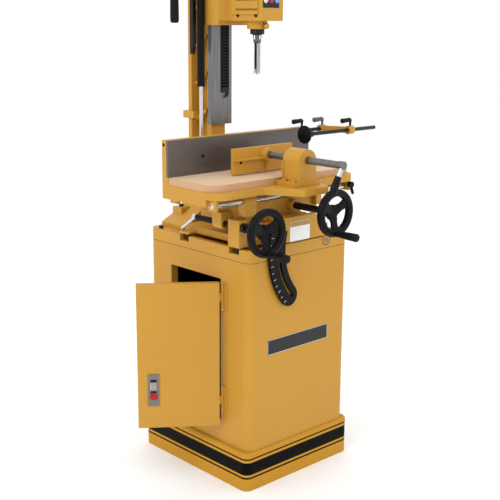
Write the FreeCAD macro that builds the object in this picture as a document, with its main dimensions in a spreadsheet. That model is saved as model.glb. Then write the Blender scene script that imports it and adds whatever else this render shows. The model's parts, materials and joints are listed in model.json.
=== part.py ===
import FreeCAD
import Part
import Sketcher
import os
import re
from FreeCAD import Rotation, Vector

# A floor-standing hollow chisel mortiser with a tilting, cross-sliding table.
# Millimetres, +Z up, +X to the machine's right, front faces -Y.
# The origin is the centre of the plinth's footprint on the floor.

# Driving dimensions
SIZES = {
    "slide_gap": 0.05,
    "running_gap": 0.3,
    "overrun": 2,
    "root_share": 1.25,
    "mouth_share": 1.5,
    "tooth_base_share": 1.05,
    "tooth_middle_share": 0.68,
    "tooth_tip_share": 0.3,
    "tooth_height_share": 0.9,
    # plinth and cabinet
    "plinth_wide": 435,
    "plinth_deep": 479,
    "plinth_tall": 115,
    "plinth_round": 22,
    "plinth_ledge": 5,
    "plinth_wall": 5,
    "cabinet_wide": 405.75,
    "cabinet_deep": 449.5,
    "cabinet_shift": -7,
    "cabinet_round": 25,
    "cabinet_wall": 3,
    "seam_level": 675.6,
    "doorway_front": -112,
    "doorway_back": 113,
    "doorway_low": 186,
    "doorway_high": 612,
    "jamb_deep": 22,
    "shelf_level": 392,
    "shelf_thick": 2,
    "shelf_lip": 18,
    # door
    "door_wide": 243,
    "door_low": 177,
    "door_high": 607,
    "door_deep": 18,
    "door_sheet": 2,
    "door_edge_gap": 8,
    "door_rest_angle": 143,
    "hinge_line": -125.4,
    "hinge_standoff": 6.5,
    "knuckle_radius": 5,
    "hinge_pin_radius": 2.2,
    "hinge_tall": 75,
    "hinge_leaf": 17,
    "hinge_sheet": 2,
    "hinge_low": 215,
    "hinge_high": 525,
    "latch_left": 182,
    "latch_right": 214,
    "latch_low": 245,
    "latch_high": 341,
    "latch_thick": 3,
    "paddle_low": 293,
    "paddle_high": 318,
    "paddle_inset": 7,
    "paddle_thick": 6,
    "paddle_pin": 1.5,
    "button_level": 275,
    "button_radius": 8,
    "button_proud": 6,
    # base casting and its fasteners
    "tray_top": 711,
    "tray_floor": 690,
    "tray_wall": 15,
    "tray_back_land": 86,
    "notch_floor": 694,
    "front_notch_front": -189,
    "front_notch_back": -147,
    "rear_notch_front": 30,
    "rear_notch_back": 70,
    "stop_screw_radius": 5,
    "stop_head_radius": 8,
    "stop_head": 6,
    "stop_screw_left": -188,
    "foot_level": 716,
    "base_bolt_radius": 7,
    "base_bolt_head": 8,
    "base_bolt_inset": 12,
    "base_bolt_depth": 175,
    # tilt pivot, quadrant and its clamp
    "pivot_across": 105,
    "pivot_level": 699,
    "pivot_lug": 14,
    "pivot_pin": 8,
    "pivot_boss_long": 20,
    "rear_lug_front": 52,
    "lug_long": 16,
    "tilt_front": -236,
    "tilt_wall": 14,
    "quadrant_thick": 8,
    "quadrant_outer": 243,
    "quadrant_inner": 181,
    "quadrant_slot": 205,
    "slot_wide": 10,
    "quadrant_start": 163,
    "quadrant_sweep": 57,
    "slot_start": 181,
    "slot_sweep": 41,
    "clamp_angle": 184,
    "clamp_radius": 4.5,
    "clamp_head_radius": 9,
    "clamp_head": 7,
    # tilting base
    "tilt_left": -172,
    "tilt_wing": -203,
    "tilt_foot_thick": 6,
    "tilt_floor_top": 736,
    "tilt_back": 85,
    "wall_left": -130,
    "wall_high": 788,
    "bed_left": -110,
    "bed_right": 50,
    "bed_top": 775,
    "way_side": 20,
    "way_top": 790,
    "post_half": 15,
    "post_front": -200,
    "post_back": -155,
    "post_above": 20,
    # cross screw
    "screw_across": -198,
    "screw_level": 773,
    "screw_radius": 6,
    "screw_end": -22,
    "screw_collar": 13,
    "front_collar_long": 12,
    "back_collar_long": 8,
    "wheel_front": -285,
    # handwheels
    "rim_radius": 57,
    "rim_tube": 10.5,
    "rim_forward": 8,
    "hub_radius": 15,
    "hub_long": 34,
    "spoke_wide": 15,
    "spoke_thick": 9,
    "spoke_dish": 12,
    "cap_radius": 9,
    "cap_long": 4,
    "stud_radius": 3.5,
    "grip_radius": 10,
    "grip_tip_radius": 11.5,
    "grip_long": 72,
    # saddle
    "saddle_left": -175,
    "saddle_right": 110,
    "saddle_front": -185,
    "saddle_back": -12,
    "saddle_top": 834,
    "gib_tall": 13,
    "gib_wide": 12,
    "nut_front": -128,
    "nut_back": -90,
    "nut_boss": 17,
    "nut_radius": 11,
    "nut_arm_top": 806,
    "sleeve_radius": 8.5,
    "sleeve_end": -3,
    "lock_hub_radius": 9,
    "lock_hub_long": 13,
    "lock_rod_radius": 4.5,
    "lock_rod_long": 74,
    "lock_rod_angle": 34.5,
    "table_lock_long": 26,
    "table_lock_angle": 70,
    "feed_boss_radius": 17,
    "feed_boss_front": -206,
    # table feed
    "feed_shaft_level": 812,
    "feed_shaft_radius": 10,
    "feed_wheel_front": -351,
    "pinion_front": -151,
    "pinion_back": -138,
    "rack_module": 1.5,
    "pinion_teeth": 20,
    "journal_radius": 7,
    "journal_end": -122,
    # guide rods
    "guide_radius": 8,
    "guide_below": 17,
    "guide_front": -190,
    "guide_rear": -30,
    "bushing_radius": 14,
    "bushing_reach": 18,
    "bushing_long": 43,
    # table
    "table_left": -313,
    "table_right": 245,
    "table_front": -225,
    "table_back": 8,
    "table_bottom": 861,
    "table_thick": 20,
    "table_round": 48,
    "apron_half_root": 109,
    "apron_half_front": 47,
    "apron_front": -320,
    "end_wall": 10,
    "end_wall_below": 20,
    "lug_thick": 10,
    "lug_below": 31,
    "board_front": -208,
    "board_thick": 20,
    "board_right": 243,
    "board_left": -312,
    "fence_face": -19,
    "fence_thick": 8,
    "fence_tall": 102,
    "fence_cap": 1,
    "table_rack_left": -122,
    "table_rack_right": 122,
    "lock_lever_across": 228,
    "lock_lever_below": 13,
    # vise
    "vise_axis_above": 52,
    "vise_screw_radius": 10,
    "vise_body_half": 35,
    "vise_body_front": -283,
    "vise_body_back": -221,
    "vise_foot_back": -212,
    "vise_foot_half": 51,
    "vise_foot_tall": 14,
    "vise_rib_out": 4,
    "vise_rib_thick": 6,
    "vise_arch_above": 30,
    "vise_bolt_radius": 4,
    "vise_bolt_head_radius": 6,
    "vise_bolt_head": 6,
    "jaw_left": -158,
    "jaw_right": 74,
    "jaw_face": -105,
    "jaw_thick": 11,
    "jaw_gap": 3,
    "jaw_above": 24,
    "jaw_rib_below": 10,
    "jaw_rib_thick": 5,
    "jaw_rib_out": 12,
    "jaw_boss_radius": 19,
    "jaw_boss_front": -134,
    "vise_cap_front": -418,
    "vise_cap_back": -400,
    "vise_cap_radius": 11.5,
    "crank_bar_radius": 6,
    "crank_bar_above": 8,
    "crank_reach": 80,
    "crank_lean": 26,
    "crank_plane": -410,
    "crank_grip_long": 48,
    "crank_grip_radius": 11,
    "crank_stud_radius": 4,
    # work stop
    "stop_rod_radius": 6,
    "support_rod_below": 12,
    "support_rod_left": 185,
    "support_bore_left": 150,
    "support_rod_right": 338,
    "arm_across": 325,
    "arm_boss_radius": 13,
    "arm_boss_half": 11,
    "arm_web_half": 9.5,
    "arm_reach": 118,
    "arm_rise": 6,
    "stop_rod_left": 123,
    "stop_rod_right": 444,
    "disc_radius": 27,
    "disc_thick": 8,
    "disc_sleeve_radius": 9,
    "disc_sleeve_long": 34,
    "fence_lever_across": 232,
    "lever_stem_radius": 4,
    "lever_stem_tall": 19,
    "lever_foot_radius": 7,
    "lever_foot_tall": 8,
    "lever_grip_long": 36,
    "lever_grip_radius": 7,
    "lever_flare_share": 1.15,
    "lever_taper_share": 0.85,
    # column
    "pedestal_half": 165,
    "pedestal_front": 104,
    "pedestal_back": 205,
    "pedestal_top": 850,
    "pedestal_wall": 16,
    "shoulder_top": 724,
    "pad_outer": 122,
    "pad_outer_level": 745,
    "pad_inner": 88,
    "pad_inner_level": 764,
    "pad_front": 162,
    "pad_top": 766,
    "curve_half": 66,
    "curve_level": 798,
    "flange_half": 55,
    "flange_thick": 15,
    "neck_half": 27,
    "neck_thick": 20,
    "web_half": 8,
    "rib_half": 42,
    "rib_thick": 9,
    "rib_pitch": 110,
    "rib_rise": 38,
    "column_top": 1760,
    "way_half": 41,
    "way_front": 115,
    "way_thick": 15,
    "way_bottom": 1018,
    "rack_slot_left": -4,
    "rack_slot_right": 30,
    "rack_slot_bottom": 1096,
    "rack_slot_deep": 10,
    "column_lug_low": 1034,
    "column_lug_high": 1056,
    "column_lug_half": 11,
    "column_lug_across": -50,
    "column_lug_back": 224,
    # head feed
    "feed_module": 3,
    "feed_teeth": 20,
    "feed_hub_level": 1650,
    "feed_axle_radius": 9,
    "feed_axle_right": 56,
    "feed_hub_radius": 22,
    "feed_hub_left": -122,
    "feed_pinion_left": -1,
    "feed_pinion_right": 27,
    "lever_radius": 7,
    "lever_plane": -200,
    "lever_hub_plane": -98,
    "lever_drop": 130,
    "lever_grip_top": 1470,
    "lever_grip_bottom": 1318,
    "lever_handle_radius": 12.5,
    "lever_handle_top_radius": 9.5,
    # head
    "head_front": -103,
    "head_half": 41,
    "head_shoulder": 39,
    "head_bottom": 1325,
    "head_top": 1640,
    "head_rear_front": 50,
    "head_rear_back": 136,
    "head_rear_half": 70,
    "head_rear_bottom": 1312,
    "head_rear_top": 1720,
    "quill_across": 0,
    "quill_depth": -41,
    "quill_boss": 29.5,
    "quill_boss_bottom": 1302,
    "chuck_room": 27,
    "chuck_room_bottom": 1336,
    "chuck_room_top": 1600,
    "window_low": 1350,
    "window_high": 1450,
    "window_half": 22,
    "cover_low": 1342,
    "cover_high": 1560,
    "cover_front": -88,
    "cover_back": 24,
    "cover_thick": 3,
    "cover_round": 8,
    "collar_radius": 20.5,
    "collar_bottom": 1288,
    "bushing_low_radius": 11,
    "bushing_high_radius": 14,
    "bushing_bottom": 1263,
    "bushing_bore": 9.5,
    "bushing_window": 9,
    "chisel_side": 12.7,
    "chisel_bottom": 1175,
    "chisel_bore": 5,
    "chisel_mouth_radius": 9.5,
    "chisel_slot": 6,
    "chisel_slot_low": 1192,
    "chisel_slot_high": 1240,
    "auger_core": 2.4,
    "auger_radius": 4.6,
    "auger_pitch": 16,
    "auger_tip": 1173,
    "auger_top": 1345,
    "chuck_radius": 21,
    "chuck_bottom": 1340,
    "chuck_tall": 58,
    "spindle_radius": 8,
    "spindle_top": 1630,
    # motor
    "motor_radius": 75,
    "motor_flange_radius": 80,
    "motor_flange": 12,
    "motor_top": 1850,
    "cowl_radius": 78,
    "cowl_tall": 55,
    "cowl_edge": 14,
    # gas strut and depth stop
    "strut_across": -83,
    "strut_depth": 112,
    "strut_radius": 11.5,
    "strut_bottom": 1135,
    "strut_top": 1480,
    "strut_cap": 8,
    "strut_rod_radius": 5.5,
    "strut_rod_top": 1300,
    "strut_seat_half": 12,
    "strut_seat_level": 930,
    "strut_lug_tall": 14,
    "stop_bar_left": -82,
    "stop_bar_right": -70,
    "stop_bar_front": 149,
    "stop_bar_back": 164,
    "stop_bar_bottom": 1228,
    "stop_bar_top": 1690,
    "stop_bar_point": 26,
    "stop_lug_low": 1440,
    "stop_lug_high": 1460,
    "stop_lug_margin": 7,
}

# Places worked out from the driving dimensions
PLACES = {
    "cabinet_left": "-cabinet_wide / 2",
    "cabinet_right": "cabinet_wide / 2",
    "cabinet_front": "cabinet_shift - cabinet_deep / 2",
    "cabinet_back": "cabinet_shift + cabinet_deep / 2",
    "hinge_across": "cabinet_left - hinge_standoff",
    "table_top": "table_bottom + table_thick",
    "board_top": "table_top + board_thick",
    "table_middle": "(table_left + table_right) / 2",
    "fence_back_face": "fence_face + fence_thick",
    "fence_top": "board_top + fence_tall",
    "fence_cap_top": "fence_top + fence_cap",
    "vise_axis_level": "board_top + vise_axis_above",
    "vise_body_top": "vise_axis_level + vise_arch_above",
    "jaw_low": "board_top + jaw_gap",
    "jaw_high": "vise_axis_level + jaw_above",
    "jaw_rib_level": "vise_axis_level - jaw_rib_below",
    "support_rod_level": "fence_top - support_rod_below",
    "end_wall_low": "table_bottom - end_wall_below",
    "lug_low": "table_bottom - lug_below",
    "guide_level": "table_bottom - guide_below",
    "lock_lever_level": "table_bottom - lock_lever_below",
    "quadrant_back": "tilt_front",
    "quadrant_front": "tilt_front - quadrant_thick",
    "clamp_across": "pivot_across + quadrant_slot * cos(clamp_angle)",
    "clamp_level": "pivot_level + quadrant_slot * sin(clamp_angle)",
    "rack_pitch_level": "feed_shaft_level + rack_module * pinion_teeth / 2",
    "rack_tooth_pitch": "pi * rack_module",
    "feed_tooth_pitch": "pi * feed_module",
    "feed_depth": "way_front + slide_gap + feed_module - feed_module * feed_teeth / 2 - feed_module / 3",
    "pivot_room": "pivot_lug + running_gap * 5",
}

doc = FreeCAD.newDocument("chisel_mortiser")
sheet = doc.addObject("Spreadsheet::Sheet", "sizes")
for row, (alias, number) in enumerate(SIZES.items(), start=1):
    sheet.set(f"A{row}", alias)
    sheet.set(f"B{row}", str(number))
    sheet.setAlias(f"B{row}", alias)
doc.recompute()

# How nearly a line must run along an axis, or lie at the top, to count as doing so.
ALIGNED_SHARE = 0.99

WORD = re.compile(r"[a-z][a-z_]*")
subparts = []

ALONG = {
    "X": Rotation(Vector(0, 1, 0), 90),
    "Y": Rotation(Vector(1, 0, 0), -90),
    "Z": Rotation(),
}


def formula(text):
    """Turn a formula of size names into one that reads the sheet."""

    def swap(word):
        name = word.group()
        if name in PLACES:
            return "(" + formula(PLACES[name]) + ")"
        return "sizes." + name if name in SIZES else name

    return WORD.sub(swap, str(text))


def bind(piece, prop, text):
    piece.setExpression(prop, formula(text))


def size(name):
    return float(sheet.get(name))


def put(piece, across, deep, level):
    """Bind the place of a piece."""
    bind(piece, "Placement.Base.x", across)
    bind(piece, "Placement.Base.y", deep)
    bind(piece, "Placement.Base.z", level)
    return piece


def block(left, right, front, back, low, high):
    """A box between six faces."""
    piece = doc.addObject("Part::Box", "Block")
    bind(piece, "Length", f"({right}) - ({left})")
    bind(piece, "Width", f"({back}) - ({front})")
    bind(piece, "Height", f"({high}) - ({low})")
    return put(piece, left, front, low)


def spot(axis, start, first, second):
    """Coordinates of a point at start along an axis and at first, second across it."""
    return {
        "X": (start, first, second),
        "Y": (first, start, second),
        "Z": (first, second, start),
    }[axis]


def rod(axis, first, second, radius, start, end):
    """A cylinder along an axis, from start to end."""
    piece = doc.addObject("Part::Cylinder", "Rod")
    bind(piece, "Radius", radius)
    bind(piece, "Height", f"({end}) - ({start})")
    piece.Placement.Rotation = ALONG[axis]
    return put(piece, *spot(axis, start, first, second))


def cone(axis, first, second, radius, end_radius, start, end):
    """A cone along an axis, from start to end."""
    piece = doc.addObject("Part::Cone", "Cone")
    bind(piece, "Radius1", radius)
    bind(piece, "Radius2", end_radius)
    bind(piece, "Height", f"({end}) - ({start})")
    piece.Placement.Rotation = ALONG[axis]
    return put(piece, *spot(axis, start, first, second))


def ball(across, deep, level, radius):
    piece = doc.addObject("Part::Sphere", "Ball")
    bind(piece, "Radius", radius)
    return put(piece, across, deep, level)


def join(*pieces):
    """One solid out of several that meet."""
    piece = doc.addObject("Part::MultiFuse", "Join")
    piece.Shapes = list(pieces)
    piece.Refine = True
    return piece


def cut(base, *tools):
    """A solid less its tools."""
    piece = doc.addObject("Part::Cut", "Cut")
    piece.Base = base
    piece.Tool = tools[0] if len(tools) == 1 else join(*tools)
    piece.Refine = True
    return piece


def loose(*pieces):
    """Separate solids that share a node."""
    piece = doc.addObject("Part::Compound", "Group")
    piece.Links = list(pieces)
    return piece


def keep(label, piece):
    """Name a finished sub-part."""
    piece.Label = label
    subparts.append(piece)
    return piece


def draw(body, plane, points, offset):
    """A closed outline on one of the body's planes, each corner bound to its formulas."""
    sketch = body.newObject("Sketcher::SketchObject", "Sketch")
    face = [item for item in body.Origin.OriginFeatures if item.Role == plane + "_Plane"][0]
    sketch.AttachmentSupport = [(face, "")]
    sketch.MapMode = "FlatFace"
    bind(sketch, "AttachmentOffset.Base.z", offset)
    count = len(points)
    corners = [
        Rotation(Vector(0, 0, 1), 360 * item / count).multVec(Vector(1, 0, 0))
        for item in range(count)
    ]
    for item in range(count):
        sketch.addGeometry(Part.LineSegment(corners[item], corners[(item + 1) % count]), False)
    for item in range(count):
        sketch.addConstraint(Sketcher.Constraint("Coincident", item, 2, (item + 1) % count, 1))
    for item, point in enumerate(points):
        for kind, text in zip(("DistanceX", "DistanceY"), point):
            index = sketch.addConstraint(Sketcher.Constraint(kind, -1, 1, item, 1, 1.0))
            bind(sketch, f"Constraints[{index}]", text)
    return sketch


def plate(plane, points, start, end):
    """A body padded from an outline, from start to end along the plane's own axis."""
    body = doc.addObject("PartDesign::Body", "Body")
    facing_back = plane == "XZ"
    sketch = draw(body, plane, points, f"-({start})" if facing_back else start)
    pad = body.newObject("PartDesign::Pad", "Pad")
    pad.Profile = sketch
    pad.Reversed = facing_back
    bind(pad, "Length", f"({end}) - ({start})")
    return body


def rounded(body, radius, chosen):
    """Round the edges of a body that a test picks."""
    doc.recompute()
    base = body.Tip
    edges = enumerate(base.Shape.Edges, start=1)
    names = [f"Edge{item}" for item, edge in edges if chosen(edge, base.Shape.BoundBox)]
    fillet = body.newObject("PartDesign::Fillet", "Fillet")
    fillet.Base = (base, names)
    bind(fillet, "Radius", radius)
    return body


def runs_along(edge, axis):
    return isinstance(edge.Curve, Part.Line) and abs(edge.Curve.Direction.dot(axis)) > ALIGNED_SHARE


def upright(edge, bounds):
    return runs_along(edge, Vector(0, 0, 1))


def slab(left, right, front, back, low, high, radius):
    """A box with rounded upright corners."""
    corners = [(left, front), (right, front), (right, back), (left, back)]
    return rounded(plate("XY", corners, low, high), radius, upright)


def repeated(body, kind, feature, axis, extent, extent_text, count_text):
    """Repeat a feature of a body in a row or a ring."""
    pattern = body.newObject("PartDesign::" + kind, kind)
    pattern.Originals = [feature]
    if kind == "LinearPattern":
        pattern.Direction = (feature.Profile[0], [axis])
    else:
        pattern.Axis = (feature.Profile[0], [axis])
    bind(pattern, extent, extent_text)
    bind(pattern, "Occurrences", count_text)
    body.Tip = pattern
    return body


# Plinth and cabinet
def plinth():
    outer = slab(
        "-plinth_wide / 2",
        "plinth_wide / 2",
        "-plinth_deep / 2",
        "plinth_deep / 2",
        "0",
        "plinth_tall",
        "plinth_round",
    )
    doc.recompute()
    base = outer.Tip
    rim = [
        f"Edge{item}"
        for item, edge in enumerate(base.Shape.Edges, start=1)
        if edge.BoundBox.ZMin > base.Shape.BoundBox.ZMax * ALIGNED_SHARE
    ]
    bevel = outer.newObject("PartDesign::Chamfer", "Bevel")
    bevel.Base = (base, rim)
    bind(bevel, "Size", "plinth_ledge")
    hollow = slab(
        "-plinth_wide / 2 + plinth_wall",
        "plinth_wide / 2 - plinth_wall",
        "-plinth_deep / 2 + plinth_wall",
        "plinth_deep / 2 - plinth_wall",
        "plinth_wall",
        "plinth_tall - plinth_wall - plinth_ledge",
        "plinth_round - plinth_wall",
    )
    mouth = block(
        "cabinet_left + cabinet_round",
        "cabinet_right - cabinet_round",
        "cabinet_front + cabinet_round",
        "cabinet_back - cabinet_round",
        "plinth_wall * 2",
        "plinth_tall + overrun",
    )
    return keep("plinth", cut(outer, hollow, mouth))


def cabinet():
    outer = slab(
        "cabinet_left",
        "cabinet_right",
        "cabinet_front",
        "cabinet_back",
        "plinth_tall",
        "seam_level",
        "cabinet_round",
    )
    inner = slab(
        "cabinet_left + cabinet_wall",
        "cabinet_right - cabinet_wall",
        "cabinet_front + cabinet_wall",
        "cabinet_back - cabinet_wall",
        "plinth_tall - overrun",
        "seam_level - cabinet_wall",
        "cabinet_round - cabinet_wall",
    )
    doorway = block(
        "cabinet_left - overrun",
        "cabinet_left + cabinet_wall + overrun",
        "doorway_front",
        "doorway_back",
        "doorway_low",
        "doorway_high",
    )
    jamb = block(
        "cabinet_left + cabinet_wall / 2",
        "cabinet_left + cabinet_wall + jamb_deep",
        "doorway_back",
        "doorway_back + cabinet_wall",
        "doorway_low",
        "doorway_high",
    )
    keep("cabinet", join(cut(outer, inner, doorway), jamb))
    shelf = plate(
        "XY",
        [
            ("cabinet_left + cabinet_wall", "doorway_front"),
            ("cabinet_right - cabinet_wall", "doorway_front"),
            ("cabinet_right - cabinet_wall", "cabinet_back - cabinet_wall"),
            ("cabinet_left + cabinet_wall", "cabinet_back - cabinet_wall"),
        ],
        "shelf_level",
        "shelf_level + shelf_thick",
    )

    def back_corner(edge, bounds):
        return upright(edge, bounds) and edge.BoundBox.YMin > bounds.Center.y

    rounded(shelf, "cabinet_round", back_corner)
    lip = block(
        "cabinet_left + cabinet_wall",
        "cabinet_right - cabinet_wall",
        "doorway_front",
        "doorway_front + shelf_thick",
        "shelf_level - shelf_lip",
        "shelf_level",
    )
    jamb_room = block(
        "cabinet_left",
        "cabinet_left + cabinet_wall + jamb_deep + running_gap",
        "doorway_back - running_gap",
        "doorway_back + cabinet_wall + running_gap",
        "shelf_level - overrun",
        "shelf_level + shelf_thick + overrun",
    )
    keep("inner_shelf", cut(join(shelf, lip), jamb_room))


# Door with its two butt hinges, latch plate, paddle and button
def cabinet_hinges():
    """Leaves on the cabinet with the outer knuckles and the pins."""
    hinges = []
    for low in ("hinge_low", "hinge_high"):
        leaf = block(
            "cabinet_left - hinge_sheet",
            "cabinet_left",
            "hinge_line - hinge_leaf",
            "hinge_line",
            low,
            f"{low} + hinge_tall",
        )
        bridge = block(
            "hinge_across",
            "cabinet_left",
            "hinge_line - knuckle_radius",
            "hinge_line - knuckle_radius + hinge_sheet",
            low,
            f"{low} + hinge_tall",
        )
        knuckle = rod("Z", "hinge_across", "hinge_line", "knuckle_radius", low, f"{low} + hinge_tall")
        gap = rod(
            "Z",
            "hinge_across",
            "hinge_line",
            "knuckle_radius + running_gap * 2",
            f"{low} + hinge_tall / 3",
            f"{low} + hinge_tall * 2 / 3",
        )
        pin = rod("Z", "hinge_across", "hinge_line", "hinge_pin_radius", low, f"{low} + hinge_tall")
        hinges.append(join(cut(join(leaf, bridge, knuckle), gap), pin))
    keep("cabinet_hinges", loose(*hinges))


def on_door(label, piece):
    """Swing a piece made in the door's own frame to where the door stands open."""
    piece.Placement.Rotation = Rotation(Vector(0, 0, 1), size("door_rest_angle"))
    put(piece, "hinge_across", "hinge_line", "0")
    return keep(label, piece)


def door():
    """In the door's frame the hinge is at 0, the door runs along +X and faces +Y."""
    inner_face = "-hinge_standoff + door_sheet + running_gap"
    outer_face = f"{inner_face} + door_deep"
    outer = slab(
        "door_edge_gap",
        "door_wide",
        inner_face,
        outer_face,
        "door_low",
        "door_high",
        "door_sheet / 2",
    )
    inner = block(
        "door_edge_gap + door_sheet",
        "door_wide - door_sheet",
        f"{inner_face} - overrun",
        f"{outer_face} - door_sheet",
        "door_low + door_sheet",
        "door_high - door_sheet",
    )
    paddle_room = block(
        "latch_left + paddle_inset",
        "latch_right - paddle_inset",
        f"{outer_face} - door_sheet - overrun",
        f"{outer_face} + overrun",
        "paddle_low",
        "paddle_high",
    )
    button_room = rod(
        "Y",
        "(latch_left + latch_right) / 2",
        "button_level",
        "button_radius / 2 + running_gap",
        f"{outer_face} - door_sheet - overrun",
        f"{outer_face} + overrun",
    )
    on_door("door_panel", cut(outer, inner, paddle_room, button_room))
    leaves = []
    for low in ("hinge_low", "hinge_high"):
        knuckle = rod(
            "Z",
            "0",
            "0",
            "knuckle_radius",
            f"{low} + hinge_tall / 3 + running_gap",
            f"{low} + hinge_tall * 2 / 3 - running_gap",
        )
        arm = block(
            "0",
            "door_edge_gap",
            "knuckle_radius - hinge_sheet",
            "knuckle_radius",
            f"{low} + hinge_tall / 3 + running_gap",
            f"{low} + hinge_tall * 2 / 3 - running_gap",
        )
        pin_room = rod(
            "Z", "0", "0", "hinge_pin_radius + slide_gap", f"{low} - overrun", f"{low} + hinge_tall + overrun"
        )
        leaves.append(cut(join(knuckle, arm), pin_room))
    on_door("door_hinge_knuckles", loose(*leaves))
    latch = block(
        "latch_left", "latch_right", outer_face, f"{outer_face} + latch_thick", "latch_low", "latch_high"
    )
    latch_paddle_room = block(
        "latch_left + paddle_inset",
        "latch_right - paddle_inset",
        f"{outer_face} - overrun",
        f"{outer_face} + latch_thick + overrun",
        "paddle_low",
        "paddle_high",
    )
    latch_button_room = rod(
        "Y",
        "(latch_left + latch_right) / 2",
        "button_level",
        "button_radius / 2 + running_gap",
        f"{outer_face} - overrun",
        f"{outer_face} + latch_thick + overrun",
    )
    pin = rod(
        "X",
        f"{outer_face} + latch_thick / 2",
        "paddle_high - paddle_thick / 2",
        "paddle_pin",
        "latch_left + paddle_inset / 2",
        "latch_right - paddle_inset / 2",
    )
    on_door("latch_plate", join(cut(latch, latch_paddle_room, latch_button_room), pin))
    paddle = block(
        "latch_left + paddle_inset + running_gap * 2",
        "latch_right - paddle_inset - running_gap * 2",
        f"{outer_face} + latch_thick / 2 - paddle_pin - door_sheet / 2",
        f"{outer_face} + latch_thick / 2 - paddle_pin - door_sheet / 2 + paddle_thick",
        "paddle_low + running_gap * 2",
        "paddle_high - running_gap * 4",
    )
    paddle_bore = rod(
        "X",
        f"{outer_face} + latch_thick / 2",
        "paddle_high - paddle_thick / 2",
        "paddle_pin + slide_gap",
        "latch_left",
        "latch_right",
    )
    on_door("latch_paddle", cut(paddle, paddle_bore))
    cap = rod(
        "Y",
        "(latch_left + latch_right) / 2",
        "button_level",
        "button_radius",
        f"{outer_face} + latch_thick + button_proud / 2",
        f"{outer_face} + latch_thick + button_proud",
    )
    stem = rod(
        "Y",
        "(latch_left + latch_right) / 2",
        "button_level",
        "button_radius / 2",
        f"{outer_face} - door_sheet",
        f"{outer_face} + latch_thick + button_proud / 2",
    )
    on_door("latch_button", join(cap, stem))


# Base casting: a tray with a solid land for the column, notched for the tilt stops
BASE_BOLTS = [
    (f"{side} * ({across})", deep, level)
    for side in (-1, 1)
    for across, deep, level in (
        ("cabinet_right - base_bolt_inset", "base_bolt_depth", "tray_top"),
        ("(pad_outer + pad_inner) / 2", "(pad_front + pedestal_back) / 2", "pad_top"),
    )
]


def base_bolt_rooms(low, high):
    return [
        rod("Z", across, deep, "base_bolt_radius / 2", f"{low} - overrun", f"{high} + overrun")
        for across, deep, level in BASE_BOLTS
    ]


def base_casting():
    outer = slab(
        "cabinet_left",
        "cabinet_right",
        "cabinet_front",
        "cabinet_back",
        "seam_level",
        "tray_top",
        "cabinet_round",
    )
    inner = slab(
        "cabinet_left + tray_wall",
        "cabinet_right - tray_wall",
        "cabinet_front + tray_wall",
        "tray_back_land",
        "tray_floor",
        "tray_top + overrun",
        "cabinet_round - tray_wall",
    )
    notches = [
        block(
            "cabinet_left - overrun",
            "cabinet_left + tray_wall + overrun",
            f"{side}_notch_front",
            f"{side}_notch_back",
            "notch_floor",
            "tray_top + overrun",
        )
        for side in ("front", "rear")
    ]
    front_room = join(
        rod(
            "Y",
            "pivot_across",
            "pivot_level",
            "pivot_room",
            "cabinet_front - overrun",
            "cabinet_front + tray_wall + overrun",
        ),
        block(
            "pivot_across - pivot_room",
            "pivot_across + pivot_room",
            "cabinet_front - overrun",
            "cabinet_front + tray_wall + overrun",
            "pivot_level",
            "tray_top + overrun",
        ),
    )
    rear_room = rod(
        "Y",
        "pivot_across",
        "pivot_level",
        "pivot_room",
        "rear_lug_front - running_gap",
        "rear_lug_front + lug_long + running_gap",
    )
    bosses = []
    pins = []
    for lug_front in ("cabinet_front - running_gap", "rear_lug_front"):
        boss_front = f"{lug_front} + lug_long + running_gap"
        boss = block(
            "pivot_across - pivot_lug",
            "pivot_across + pivot_lug",
            boss_front,
            f"{boss_front} + pivot_boss_long",
            "tray_floor - overrun",
            "tray_top",
        )
        bosses.append(boss)
        pins.append(
            rod(
                "Y",
                "pivot_across",
                "pivot_level",
                "pivot_pin",
                lug_front,
                f"{boss_front} + pivot_boss_long",
            ),
        )
    bores = [
        rod(
            "Y",
            "pivot_across",
            "pivot_level",
            "pivot_pin",
            f"{lug_front} + lug_long + running_gap",
            f"{lug_front} + lug_long + running_gap + pivot_boss_long",
        )
        for lug_front in ("cabinet_front - running_gap", "rear_lug_front")
    ]
    pads = [
        rod(
            "Z",
            "stop_screw_left",
            f"({side}_notch_front + {side}_notch_back) / 2",
            "stop_head_radius",
            "seam_level",
            "notch_floor",
        )
        for side in ("front", "rear")
    ]
    clamp_bore = rod(
        "Y",
        "clamp_across",
        "clamp_level",
        "clamp_radius",
        "cabinet_front - overrun",
        "cabinet_front + tray_wall",
    )
    tray = cut(outer, inner, *notches)
    bolts = []
    for across, deep, level in BASE_BOLTS:
        shank = rod("Z", across, deep, "base_bolt_radius / 2", "seam_level", level)
        head = rod("Z", across, deep, "base_bolt_radius", level, f"{level} + base_bolt_head")
        socket = rod(
            "Z",
            across,
            deep,
            "base_bolt_radius / 2",
            f"{level} + base_bolt_head / 2",
            f"{level} + base_bolt_head + overrun",
        )
        bolts.append(cut(join(shank, head), socket))
    keep("base_bolts", loose(*bolts))
    rooms = [front_room, rear_room, *bores, clamp_bore, *base_bolt_rooms("seam_level", "tray_top")]
    keep("base_casting", cut(join(tray, *bosses, *pads), *rooms))
    keep("tilt_pins", loose(*pins))
    screws = []
    for side in ("front", "rear"):
        middle = f"({side}_notch_front + {side}_notch_back) / 2"
        shank = rod(
            "Z",
            "stop_screw_left",
            middle,
            "stop_screw_radius",
            "notch_floor",
            "foot_level - stop_head",
        )
        head = rod("Z", "stop_screw_left", middle, "stop_head_radius", "foot_level - stop_head", "foot_level")
        screws.append(join(shank, head))
    keep("tilt_stop_screws", loose(*screws))


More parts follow.
